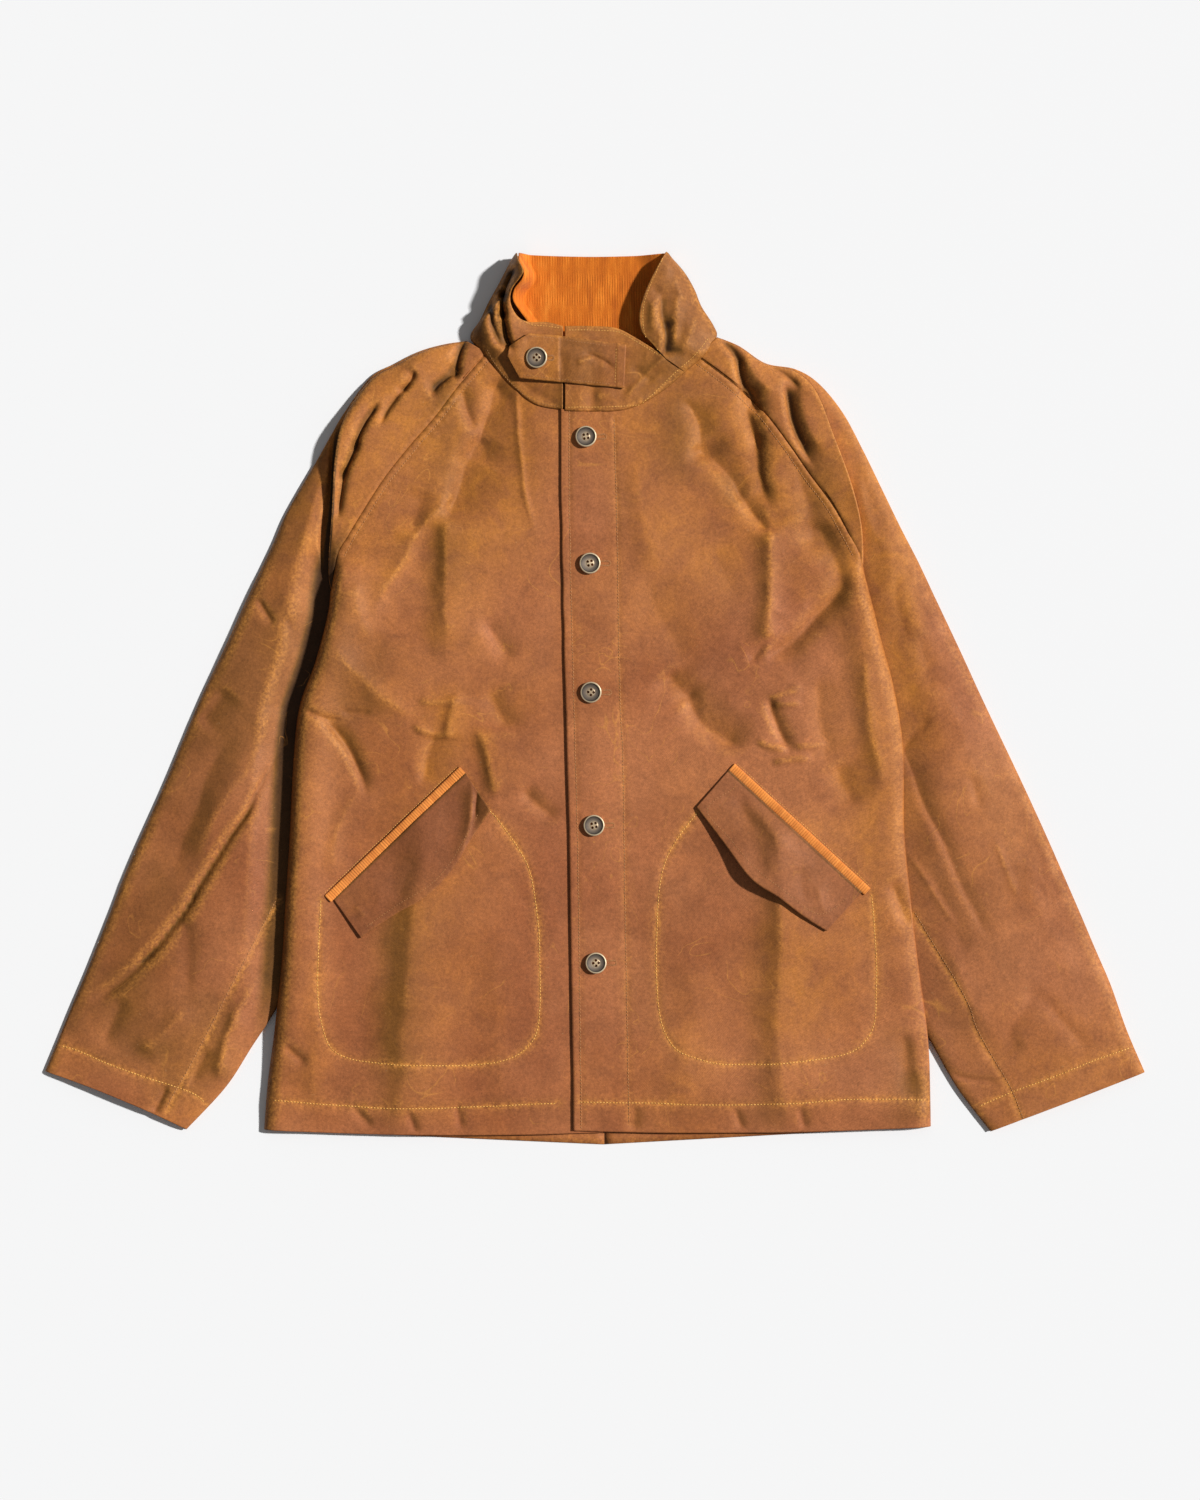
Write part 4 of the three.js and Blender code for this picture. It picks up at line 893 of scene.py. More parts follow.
# %% Sleeve sections
SLEEVE_RIGHT = table(
    "x1 y1 x2 y2 bow fold cap",
    (-125, 357, -105, 345, 0, 0.03, 1), (-147, 354, -133, 312, 0, 0.03, 1),
    (-172, 347, -158, 279, 0, 0.03, 1), (-196, 335, -182, 251, 0, 0.03, 1),
    (-221, 321, -207, 219, 0, 0.03, 1), (-247, 286, -231, 182, 0, 0.05, 1),
    (-260, 264, -243, 162, 0, 0.25, 1), (-274, 239, -254, 142, 0, 0.7, 1),
    (-304, 187, -258, 108, 0, 0.93, 0.4), (-319, 153, -246, 84, 0, 0.93, 0),
    (-342, 105, -246, 47, 0, 0.85, 0), (-366, 52, -254, 9, 0, 0.7, 0),
    (-392, -3, -272, -39, 0, 0.6, 0), (-427, -86, -280, -116, 0, 0.5, 0),
    (-460, -160, -286, -201, 0, 0.5, 0), (-482, -216, -291, -256, 0, 0.5, 0),
    (-504, -271, -314, -307, 0, 0.5, 0), (-521, -311, -340, -348, 0, 0.5, 0),
    (-534, -343, -366, -388, 0, 0.5, 0), (-546, -372, -405, -430, -3, 0.5, 0),
)
SLEEVE_LEFT = table(
    "x1 y1 x2 y2 bow fold cap",
    (125, 361, 104, 342, 0, 0.03, 1), (147, 352, 123, 328, 0, 0.03, 1),
    (173, 335, 147, 309, 0, 0.03, 1), (203, 329, 171, 286, 0, 0.05, 1),
    (226, 315, 196, 253, 0, 0.12, 1), (250, 286, 219, 221, 0, 0.33, 1),
    (270, 249, 239, 194, 0, 0.47, 1), (290, 208, 254, 168, 0, 0.65, 1),
    (308, 171, 264, 142, 0, 0.87, 0.8), (326, 136, 264, 106, 0, 0.93, 0.3),
    (342, 102, 266, 78, 0, 0.93, 0), (368, 47, 270, 31, 0, 0.85, 0),
    (390, -1, 286, -29, 0, 0.7, 0), (421, -66, 292, -101, 0, 0.6, 0),
    (451, -131, 297, -173, 0, 0.5, 0), (483, -204, 303, -241, 0, 0.5, 0),
    (503, -251, 312, -296, 0, 0.5, 0), (518, -286, 339, -344, 0, 0.5, 0),
    (534, -331, 365, -389, 0, 0.5, 0), (552, -373, 398, -432, 0, 0.5, 0),
)
print("sections of a sleeve", len(SLEEVE_RIGHT["x1"]), "and", len(SLEEVE_LEFT["x1"]))

# %% Sleeves
SLEEVE_SEAM, FOLD_HALF = 0.45, 1.6
LOBE_PUFF, LOBE_LOWEST = 8.5, 3.2
SLEEVE_ROLL, CAP_ROLL = 12, 16
LOBE_POINTS, CAP_POINTS = 34, 46
UNDER_STEP, UNDER_POINTS = 10, 18
WEDGE_SHADOW_PAINT = 1.85


def sleeve_shares(long, fold):
    """Shares of each section, close together at the fold where the cap ends, and which are cap."""
    half = np.minimum(FOLD_HALF / long, 0.012)
    lobe = (fold - half) * even_shares(LOBE_POINTS)
    cap = fold + half + (1 - fold - half) * even_shares(CAP_POINTS)
    cap[:, -2:-1] = 1 - (SLEEVE_SEAM + 1.3) / long
    cap[:, -1:] = 1 - SLEEVE_SEAM / long
    on_cap = np.concatenate([np.zeros_like(lobe), np.ones_like(cap)], axis=1)
    return np.concatenate([lobe, cap], axis=1), on_cap


def beyond_body(x, y, front_rows):
    """How far each point lies outside the body's side edge."""
    edge = np.interp(-y, -front_rows["y1"], front_rows["x1"])
    return (x - edge) * np.sign(front_rows["x1"][0])


def make_sleeve(name, rows, front_rows, stand_rows, seams):
    """A sleeve's upper layer. The gap beside the right arm is deep, and its shadow is painted black,
    beside the body and under the shoulder fold.
    """
    on_right_arm = float("right" in name)
    sections = sections_of(rows, FINE)
    fold = np.clip(sections["fold"], 0.03, 0.95)[:, None]
    cap_share = np.clip(sections["cap"], 0, 1)[:, None]
    shares, on_cap = sleeve_shares(lengths(sections), fold)
    x, y, long = grid_on(sections, shares)
    from_outer, from_inner = shares * long, (1 - shares) * long
    from_fold = fold * long - from_outer
    beyond = beyond_body(x, y, front_rows)
    falls = crease_height(x, y, SLEEVE_CREASES) * (1 - 0.35 * smooth(290, 320, x) * smooth(40, 0, y))
    low = SLEEVE_LOFT + falls + 0.8 * crumples(x, y)
    dome = LOBE_PUFF * np.sin(np.pi * np.clip(shares, 0, 1)) ** 1.2 * (1 - 0.6 * smooth(-300, -390, y))
    low = held_above(low + dome * (1 - 0.75 * cap_share), LOBE_LOWEST)
    sunk = 1 - smooth(9 + 5 * on_right_arm, 42, beyond)
    sunk = sunk * stand_at(stand_rows, y + 30 - 55 * on_right_arm)
    beside_cap = (1 - smooth(15, 36, from_fold)) * smooth(0, 0.3, cap_share) * smooth(290, 240, y)
    beside_cap = beside_cap * (0.25 + 0.75 * on_right_arm)
    low = low + (LOBE_LOWEST - low) * np.maximum(sunk, beside_cap)
    closed = roll(from_inner / SLEEVE_ROLL)
    closed = closed + (1 - closed) * cap_share
    lobe = SECOND_LAYER + (low - SECOND_LAYER) * roll(from_outer / SLEEVE_ROLL) * closed
    cap = SECOND_LAYER + (loft(x, y) - SECOND_LAYER) * roll(from_outer / CAP_ROLL)
    pucker, wear = near_seams(x, y, seams)
    z = lobe + (cap - lobe) * (on_cap * cap_share) + pucker * roll(from_outer / SLEEVE_ROLL)
    rub = np.clip(np.maximum(wear, rubbed_ridges(z)), 0, 1)
    rub = np.maximum(rub, 0.35 * bell(from_outer, 3))
    z = z - edge_drop(from_inner) * cap_share
    # Painted shadow: black on the right arm beside the body and under the shoulder fold.
    beside_body = (1 - smooth(13, 28, beyond)) * stand_at(stand_rows, y - 25)
    by_fold = (1 - smooth(11, 21, from_fold)) * (1 - smooth(4, 12, -from_fold))
    by_fold = by_fold * smooth(0.1, 0.4, cap_share) * smooth(292, 250, y)
    painted_wedge_shadow = WEDGE_SHADOW_PAINT * np.maximum(beside_body, by_fold) * on_right_arm
    return sheet_piece(name, (x, y, z),
                       (rub, gold_tone(x, y), np.maximum(painted_shade_and_stains(x, y, z, falls), painted_wedge_shadow)))


def make_sleeve_under(name, rows):
    """A sleeve's layer that lies on the ground."""
    sections = sections_of(rows, UNDER_STEP)
    shares = even_shares(UNDER_POINTS) * (1 - SLEEVE_SEAM / lengths(sections))
    x, y, _ = grid_on(sections, shares)
    sheet_piece(name, (x, y, np.full_like(x, FLOOR_LAYER)), (0.2, 0.3))


make_sleeve_under("cloth_sleeve_right_under", SLEEVE_RIGHT)
make_sleeve_under("cloth_sleeve_left_under", SLEEVE_LEFT)
sleeve_right = make_sleeve("cloth_sleeve_right_upper", SLEEVE_RIGHT, FRONT_RIGHT, STAND_RIGHT,
                           ["raglan_right", "cuff_right", "underarm_right"])
sleeve_left = make_sleeve("cloth_sleeve_left_upper", SLEEVE_LEFT, FRONT_LEFT, STAND_LEFT,
                          ["raglan_left", "cuff_left", "underarm_left"])

# %% [markdown]
# ## On the surface of finished cloth
#
# Tabs, flaps, welts, buttons and stitches lie on cloth that is already made. A ray dropped from
# above onto the finished sheets finds how high the cloth is and which way it faces there.

# %% Finding the surface


class Surface:
    """The upper side of some finished pieces."""

    def __init__(self, *pieces):
        points, faces = [], []
        for piece in pieces:
            start = len(points)
            points += [tuple(vertex.co) for vertex in piece.data.vertices]
            faces += [[start + i for i in polygon.vertices] for polygon in piece.data.polygons]
        self.tree = BVHTree.FromPolygons(points, faces)

    def at(self, x, y):
        """Height in millimetres and the direction that the cloth faces."""
        origin = Vector(place([x, y, 150.0]))
        point, normal, _, _ = self.tree.ray_cast(origin, Vector((0, 0, -1)))
        if point is None:
            return None, None
        return point.z / MM, normal if normal.z > 0 else -normal

    def heights(self, x, y, missing=10.0):
        """Heights at many points, with a stand-in where no cloth lies."""
        found = [self.at(a, b)[0] for a, b in zip(np.ravel(x), np.ravel(y))]
        return np.array([missing if z is None else z for z in found]).reshape(np.shape(x))


on_right, on_left = Surface(front_right), Surface(front_left)
on_front = Surface(front_right, front_left)
print("height by the middle button", round(on_left.at(10, 0)[0], 1))

# %% [markdown]
# ## Collar
#
# The collar stands up round an open neck. Its outer cloth is given in four stretches: the right
# end and the left end, which meet under the throat tab, the leaf that turns over at the left
# side of the neck, and the back, which lies on the ground. A corduroy facing lines the inside.

# %% Collar sections
COLLAR_RIGHT = table(
    "x1 y1 z1 x2 y2 z2 belly",
    (-29, 288, 12.4, -29, 371, 15.6, 1.5), (-56, 293, 12.4, -45, 375, 16, 1.5),
    (-77, 309, 12.4, -63, 375, 18, 2), (-96, 329, 12, -74, 380, 22, 4),
    (-108, 345, 11.5, -81, 393, 29, 6), (-121, 361, 5, -79, 406, 35, 8),
    (-111, 379, 3.2, -70, 418, 38, 8), (-103, 396, 3.2, -68, 424, 38, 7),
    (-92, 416, 3.2, -73, 435, 31, 4), (-80, 439, 3.2, -75, 444, 14, 1.5),
)
COLLAR_LEFT = table(
    "x1 y1 z1 x2 y2 z2 belly",
    (-27, 287, 12.4, -27, 371, 15.6, 1.5), (-3, 286, 12.4, -2, 371, 15.6, 1.5),
    (26, 287, 12.4, 24, 369, 15.6, 1.5), (47, 293, 12.4, 44, 359, 16, 1.5),
    (69, 306, 12.4, 60, 349, 17, 1.5), (87, 321, 12.4, 73, 341, 18, 1.5),
    (101, 334, 11.4, 86, 349, 15, 0.5),
)
COLLAR_LEAF = table(
    "x1 y1 z1 x2 y2 z2 belly",
    (92, 326, 13.4, 74, 338, 19, 2), (112, 343, 12, 60, 353, 19, 4),
    (124, 361, 5, 49, 366, 20, 7), (121, 373, 3.2, 47, 383, 21, 8),
    (109, 392, 3.2, 52, 402, 21, 8), (102, 409, 3.2, 60, 420, 21, 7),
    (92, 426, 3.2, 68, 435, 20, 5), (79, 441, 3.2, 74, 445, 16, 2),
)
COLLAR_CREASES = table(
    "x1 y1 x2 y2 bend left right high",
    (-77, 426, -88, 398, 1, 3, 4, -13), (-88, 406, -88, 380, 1, 3, 4, -15),
    (-88, 386, -80, 348, 2, 3, 5, -11), (-101, 396, -91, 352, 2, 6, 4, -7),
    (-95, 420, -102, 392, 1, 4, 4, 2.0), (-94, 404, -96, 370, 1, 3, 3, 2.0),
    (68, 400, 72, 370, 1, 11, 3, -4.6), (72, 374, 75, 343, 0, 11, 3, -5.4),
    (94, 402, 88, 356, -2, 8, 7, -0.8), (60, 406, 84, 404, 2, 4, 6, -1.6),
    (84, 398, 82, 352, 0, 5, 5, 2.0), (60, 395, 62, 365, 0, 5, 4, 1.6),
    (82, 420, 92, 396, 2, 7, 6, 2.0), (104, 380, 92, 350, -2, 6, 8, 2.0),
    (73, 340, 36, 300, 2, 3, 7, 1.9), (64, 330, 30, 304, 1, 6, 6, -1.6),
    (-60, 320, -76, 344, 1, 6, 6, 1.6), (40, 330, 60, 316, 0, 6, 6, -1.2),
    (-40, 296, -70, 318, -2, 5, 6, -1.2), (6, 300, 22, 304, 0, 6, 4, 0.8),
)
print("creases of the collar", len(COLLAR_CREASES["x1"]))

# %% Outer cloth of the collar
COLLAR_FINE, COLLAR_SEAT, COLLAR_LOWEST = 1.9, 0.7, 3.0


def collar_band(name, rows, columns):
    """A stretch of the collar, from its seam or the ground up to its free edge."""
    sections = sections_of(rows, COLLAR_FINE)
    shares = even_shares(columns)
    x, y, long = grid_on(sections, shares)
    from_seam, from_top = shares * long, (1 - shares) * long
    first, last, belly = (sections[key][:, None] for key in ("z1", "z2", "belly"))
    tops = [on_front.at(a, b)[0] for a, b in zip(x[:, 0], y[:, 0])]
    seated = [low if top is None else top + COLLAR_SEAT for top, low in zip(tops, first[:, 0])]
    first = blurred(np.array(seated)[:, None] + np.zeros((1, 3)), 8)[:, :1]
    z = first + (last - first) * shares + belly * np.sin(np.pi * shares)
    falls = crease_height(x, y, COLLAR_CREASES)
    folds = falls + 0.5 * crumple(x, y, 17, 61) + 0.2 * crumple(x, y, 8, 62)
    folds = folds * (1 - 0.75 * bell(from_top, 4)) * smooth(0, 9, from_seam + 2)
    z = np.maximum(z + folds, COLLAR_LOWEST) - edge_drop(from_seam)
    rub = np.maximum(rubbed_ridges(z), 0.7 * bell(from_top, 3))
    rub = np.maximum(rub, 0.5 * bell(from_seam - 3, 3))
    tone = np.clip(0.85 + 0.4 * noise(x, y, 60, 63), 0, 1)
    # Painted shade in the folds, black in the deepest grooves, and the cloth darker towards olive
    # throughout, more towards the leaf.
    deep = 0.9 * painted_shade_and_stains(x, y, z, falls) + 0.26 + 0.30 * smooth(30, 80, x)
    return sheet_piece(name, (x, y, z), (rub, tone, np.clip(deep, 0, 1.9)))


collar_right = collar_band("cloth_collar_right", COLLAR_RIGHT, 40)
collar_left = collar_band("cloth_collar_left", COLLAR_LEFT, 42)
collar_leaf = collar_band("cloth_collar_leaf", COLLAR_LEAF, 44)

# %% Back of the collar, on the ground
COLLAR_BACK = table(
    "x1 y1 x2 y2 bow",
    (-102, BACK_NECK + SEAM, 102, BACK_NECK + SEAM, 0), (-116, 362, 118, 364, 0),
    (-110, 378, 117, 376, 0), (-102, 396, 107, 394, 0), (-91, 416, 97, 416, 0),
    (-76, 443, 76, 443, 4),
)
COLLAR_BACK_STEP, COLLAR_BACK_POINTS = 6, 30
x, y, _ = grid_on(sections_of(COLLAR_BACK, COLLAR_BACK_STEP), even_shares(COLLAR_BACK_POINTS))
sheet_piece("cloth_collar_back", (x, y, np.full_like(x, FLOOR_LAYER)), (0.2, 0.7))

# %% [markdown]
# ## Corduroy
#
# Corduroy has raised cords of cut pile with narrow grooves between. Each cord is real relief
# here: the grid has a point every 0.4 millimetres or so across the cords. The pile is lighter on
# the cords' tops, the grooves get painted shade, and it was brushed both ways, which leaves paler and
# deeper patches.

# %% Corduroy
ORANGE, DEEP_ORANGE, PALE_ORANGE = (0.68, 0.170, 0.013), (0.40, 0.080, 0.007), (0.90, 0.300, 0.038)
FRESH_ORANGE = (1.0, 0.42, 0.12)
CORD_PITCH, CORD_RELIEF = 2.5, 0.6


def corduroy(name="corduroy", paler=0.0):
    """Orange cotton pile, pale on its cords, patchy where it was brushed, with painted shade in its
    grooves.
    """
    paint = Paint(name)
    rub = paint.attribute("rub")
    stretched = paint.add("Mapping", Vector=paint.coords)
    stretched.inputs["Scale"].default_value = (1.0, 0.22, 1.0)
    brushed = paint.noise(95.0, 4.0, 0.6, 0.3, stretched.outputs["Vector"])
    pile = paint.noise(1300.0, 3.0, 0.7)
    colour = paint.ramp(brushed, (0.3, DEEP_ORANGE), (0.52, ORANGE), (0.74, PALE_ORANGE))
    colour = paint.mix(paint.times(rub, 0.34), colour, PALE_ORANGE)
    colour = paint.mix(paler, colour, FRESH_ORANGE)
    # Painted shade in the grooves between the cords.
    groove_shade = paint.math("SUBTRACT", 1.0, rub, True)
    colour = paint.mix(paint.times(groove_shade, 0.7), colour, DEEP_ORANGE)
    colour = paint.shaded(colour, pile, (0.3, 0.8), (0.7, 1.15))
    return paint.surface(Base_Color=colour, Roughness=0.9, Sheen_Weight=0.1, Sheen_Roughness=0.4,
                         Specular_IOR_Level=0.15, Normal=paint.bump(pile, 0.6, 0.0003))


def cords(run, across=0.0):
    """Rounded cords along one way: 0 in the grooves, 1 on top."""
    uneven = 0.12 * noise(run, across, 14, 71)
    lighter = 0.75 + 0.25 * noise(np.floor(run / CORD_PITCH + uneven) * 7.3, across, 11, 74)
    return np.sqrt(np.abs(np.sin(np.pi * (run / CORD_PITCH + uneven)))) * lighter


# %% Facing of the collar
COLLAR_FACING = table(
    "x1 y1 z1 x2 y2 z2 bow",
    (-73, 444, 13, 73, 444, 12, 2.4), (-72.4, 434, 29.5, 80, 434, 13, 2),
    (-67.6, 423, 36.6, 86, 423, 13, 0), (-69.6, 415, 36, 90, 413, 13, 0),
    (-76.8, 406, 33, 93, 402, 13, 0), (-78.4, 396, 28, 95, 391, 13, 0),
    (-72, 386, 20, 97, 380, 12, 0), (-65, 377, 12, 92, 368, 10, 0),
    (-60, 366, 6, 84, 357, 6, 0), (-58, 349, 4, 76, 349, 4, 0),
)
FACING_HEIGHT, FACING_LEFT_WALL, FACING_RIGHT_WALL = 4.0, 12.0, 34.0
FACING_STEP, FACING_POINTS = 2.2, 420

facing_sections = sections_of(COLLAR_FACING, FACING_STEP)
shares = even_shares(FACING_POINTS)
x, y, long = grid_on(facing_sections, shares)
from_left = shares * long
z1, z2 = facing_sections["z1"][:, None], facing_sections["z2"][:, None]
z = FACING_HEIGHT + (z1 - FACING_HEIGHT) * (1 - smooth(0, FACING_LEFT_WALL, from_left))
z = z + (z2 - FACING_HEIGHT) * (1 - smooth(0, FACING_RIGHT_WALL, long - from_left))
z = z + 0.5 * noise(x, y, 26, 72) + 0.25 * crumple(x, y, 30, 73)
ribs = cords(x, y)
z = z + CORD_RELIEF * (ribs - 0.5)
sheet_piece("corduroy_facing", (x, y, z), (ribs,),
            (CORDUROY - CORD_RELIEF, corduroy(), "corduroy"), "collar_facing")

# %% [markdown]
# ## Throat tab
#
# The tab is two layers of cloth, pointed at its buttoned end and sewn down at the other under a
# narrow strip. It bridges the gap of the collar, so its middle is stepped and wrinkled.

# %% Throat tab
TAB = table(
    "x1 y1 x2 y2 lift",
    (-84, 341, -82, 350, 4.0), (-72, 319, -63, 363, 2.2),
    (-30, 315, -33, 361, 0.9), (32, 309, 34, 352, 0.7),
)
TAB_STEP_X, TAB_STRIP_X = -33.0, 24.8
TAB_FINE, TAB_POINTS, TAB_THICK = 1.4, 34, 1.9
on_collar = Surface(collar_right, collar_left, collar_leaf, front_right, front_left)
TAB_CREASES = table(
    "x1 y1 x2 y2 bend left right high",
    (-6, 343, 20, 330, -2, 2.5, 3, -2.4), (-14, 335, 0, 341, 1, 3, 3, 1.4),
    (-26, 352, 10, 349, 1, 3, 4, -0.7), (-30, 340, -28, 322, 0, 3, 4, -0.6),
    (-78, 350, -66, 356, 1, 3, 4, 0.6), (-50, 324, -34, 322, 1, 3, 3, -0.5),
)
tab_sections = sections_of(TAB, TAB_FINE, curved=False)
shares = even_shares(TAB_POINTS)
x, y, long = grid_on(tab_sections, shares)
under = blurred(on_collar.heights(x, y, 15.0), 14)
tab_edge = bell(np.minimum(shares, 1 - shares) * long, 1.4)
z = under + 1.2 + tab_sections["lift"][:, None] + 0.9 * smooth(TAB_STEP_X + 1.2, TAB_STEP_X - 0.4, x)
z = z + 0.8 * smooth(TAB_STRIP_X - 0.8, TAB_STRIP_X + 0.4, x) - 0.5 * tab_edge
z = z + crease_height(x, y, TAB_CREASES) + 0.22 * crumple(x, y, 9, 81)
tab_tone = 0.5 + 0.5 * smooth(TAB_STEP_X + 2, TAB_STEP_X - 1, x)
past_step = smooth(TAB_STEP_X - 1, TAB_STEP_X + 1, x)
# The tab darker towards olive past its step; with it, painted shade on the sides of folds turned from the
# lamp.
tab_deep = 0.24 + 0.40 * past_step * smooth(TAB_STRIP_X, TAB_STRIP_X - 30, x)
tab_marks = (np.maximum(0.7 * tab_edge, rubbed_ridges(z)), tab_tone,
             np.maximum(tab_deep, 0.7 * painted_fold_shade(x, y, z)))
throat_tab = sheet_piece("cloth_throat_tab", (x, y, z),
                         tab_marks,
                         (TAB_THICK, COTTON_PAINT, "waxed_cotton"))

# %% [markdown]
# ## Pockets
#
# Each slanted pocket has a narrow corduroy welt, its cords running across, and a flap of waxed
# cotton that hangs from under the welt. The flaps are doubled cloth, pressed, and stand a
# little proud of the front at their free edge.

# %% Pocket sizes
WELT_WIDTH = 9.0
WELT_RIGHT = (-263, -199, -129, -71)
WELT_LEFT = (139, -68, 274, -192)
FLAP_RIGHT = table(
    "along x y lift",
    (0.02, -230, -238, 1.0), (0.27, -195, -214, 1.4), (0.52, -163, -196, 1.6),
    (0.75, -137, -168, 2.0), (0.90, -122, -143, 2.6), (1.0, -101, -111, 9.5),
)
FLAP_LEFT = table(
    "along x y lift",
    (0.0, 104, -108, 1), (0.2, 130, -142, 5), (0.4, 157, -178, 9.5),
    (0.6, 186, -198, 4), (0.8, 211, -217, 2.6), (0.98, 233, -231, 1),
)
FLAP_CREASES = table(
    "x1 y1 x2 y2 bend left right high",
    (-120, -88, -132, -160, -4, 3.5, 9, 2.4), (-114, -94, -116, -116, 1, 2.5, 3, -2.0),
    (-186, -160, -192, -200, 2, 14, 8, -1.4), (-236, -206, -226, -216, 0, 4, 5, 0.8),
    (166, -106, 185, -178, -6, 26, 12, 3.2), (150, -96, 160, -130, 2, 8, 8, -1.4),
    (206, -170, 214, -200, 2, 7, 7, -1.0), (222, -186, 232, -214, 0, 6, 5, 0.8),
)
print("welts", [round(math.dist(line[:2], line[2:])) for line in (WELT_RIGHT, WELT_LEFT)], "long")

# %% Welts


def beside_line(line, shares, aside):
    """Points along a straight line, moved aside from it towards the flap."""
    x1, y1, x2, y2 = line
    long = math.hypot(x2 - x1, y2 - y1)
    return (x1 + (x2 - x1) * shares + (y2 - y1) / long * aside,
            y1 + (y2 - y1) * shares - (x2 - x1) / long * aside)


WELT_STEP = 0.42
WELT_CORDUROY = (1.2, corduroy("corduroy_welts", 0.45), "corduroy")


def make_welt(name, line, surface):
    """A narrow corduroy strip along the line, its cords running across it."""
    long = math.hypot(line[2] - line[0], line[3] - line[1])
    shares = np.linspace(0, 1, round(long / WELT_STEP))[:, None]
    aside = np.linspace(-0.5, 0.5, 9)[None, :] * WELT_WIDTH
    x, y = beside_line(line, shares, aside)
    under = blurred(surface.heights(x, y), 60)
    ribs = cords(shares * long + 0 * aside)
    rounded = 0.9 * np.sqrt(np.clip(1 - (aside / (WELT_WIDTH / 2)) ** 2, 0, 1))
    z = under + 0.75 + rounded + CORD_RELIEF * (ribs - 0.5)
    sheet_piece(name, (x, y, z),
                (ribs,), WELT_CORDUROY)


make_welt("corduroy_welt_right", WELT_RIGHT, on_right)
make_welt("corduroy_welt_left", WELT_LEFT, on_left)

# %% Flaps
FLAP_STEP, FLAP_POINTS = 1.9, 36
FLAP_COTTON = (1.7, waxed_cotton("waxed_cotton_flaps", 0.8), "waxed_cotton")


def make_flap(name, line, rows, surface):
    """A flap that hangs from under its welt and stands off the front by its table's lift."""
    root_x, root_y = beside_line(line, rows["along"], WELT_WIDTH / 2 - 0.6)
    sections = sections_of({"x1": root_x, "y1": root_y, "x2": rows["x"], "y2": rows["y"],
                            "lift": rows["lift"]}, FLAP_STEP)
    shares = even_shares(FLAP_POINTS)
    x, y, long = grid_on(sections, shares)
    from_root, free = shares * long, bell((1 - shares) * long, 1.6)
    under = blurred(surface.heights(x, y), 12)
    lift = sections["lift"][:, None] * shares ** 1.5
    z = under + 1.15 + lift + crease_height(x, y, FLAP_CREASES) * smooth(0, 0.3, shares) - 0.4 * free
    z = z + 0.35 * crumple(x, y, 20, 91) - 0.5 * bell(from_root, 2.5)
    z = np.maximum(z, under + 0.9)
    rub = np.maximum(0.35 * free, 0.7 * rubbed_ridges(z))
    tone = np.clip(0.05 + 0.3 * noise(x, y, 40, 93), 0, 1)
    # Painted shade on fold sides turned from the lamp, and a painted black shadow along the root, where
    # the flap goes under the welt.
    deep = painted_fold_shade(x, y, z) + 1.5 * bell(from_root - 0.9, 1.1)
    return sheet_piece(name, (x, y, z),
                       (rub, tone, deep), FLAP_COTTON)


flap_right = make_flap("cloth_flap_right", WELT_RIGHT, FLAP_RIGHT, on_right)
flap_left = make_flap("cloth_flap_left", WELT_LEFT, FLAP_LEFT, on_left)

# %% [markdown]
# ## Stitches
#
# One stitch is modelled as a short rounded bead of thread. Rows of stitches are copies of it,
# set along the seam on the finished cloth, leaning as the cloth leans.

# %% One stitch
bpy.ops.mesh.primitive_uv_sphere_add(segments=6, ring_count=5, radius=0.5)
bead = bpy.context.object
BEAD_POINTS = np.array([tuple(vertex.co) for vertex in bead.data.vertices])
BEAD_FACES = [list(polygon.vertices) for polygon in bead.data.polygons]
bpy.data.objects.remove(bead)
print("stitch has", len(BEAD_FACES), "faces")

# %% Thread


def thread(name, colour, pale):
    """Waxed cotton thread, twisted."""
    paint = Paint(name)
    uneven = paint.ramp(paint.noise(130.0, 3.0), (0.3, colour), (0.7, pale))
    ply = paint.slanting_lines(paint.coords, 900.0)
    return paint.surface(Base_Color=uneven, Roughness=0.6, Normal=paint.bump(ply, 0.4, 0.0001))


GOLDEN_THREAD = thread("golden_thread", (0.68, 0.33, 0.055), (0.95, 0.55, 0.14))
TAN_THREAD = thread("tan_thread", (0.36, 0.150, 0.050), (0.50, 0.235, 0.075))
print("threads", GOLDEN_THREAD.name, TAN_THREAD.name)

# %% Rows of stitches
WOBBLE = 0.15


def beads_at(spots, length, width):
    """Points and faces of many stitches; each spot is a place, a way along and a way up."""
    points, faces = [], []
    for origin, run, up in spots:
        side = up.cross(run).normalized()
        turn = np.array([run, side, up])
        local = BEAD_POINTS * np.array([length, width, width * 0.85]) * MM
        start = len(BEAD_POINTS) * len(points)
        points.append(local @ turn + np.array(origin + up * width * 0.12 * MM))
        faces += [[start + i for i in face] for face in BEAD_FACES]
    return np.concatenate(points), faces


def thread_piece(name, points, faces, paint):
    """A piece of thread from points in metres and their faces."""
    mesh = bpy.data.meshes.new(name)
    mesh.from_pydata(points.tolist(), [], faces)
    mesh.polygons.foreach_set("use_smooth", np.ones(len(mesh.polygons), dtype=bool))
    mesh.materials.append(paint)
    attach(add_to_scene(name, mesh), "root")


def laid(way, up):
    """The way along the cloth that is nearest to the given one."""
    return (way - up * way.dot(up)).normalized()


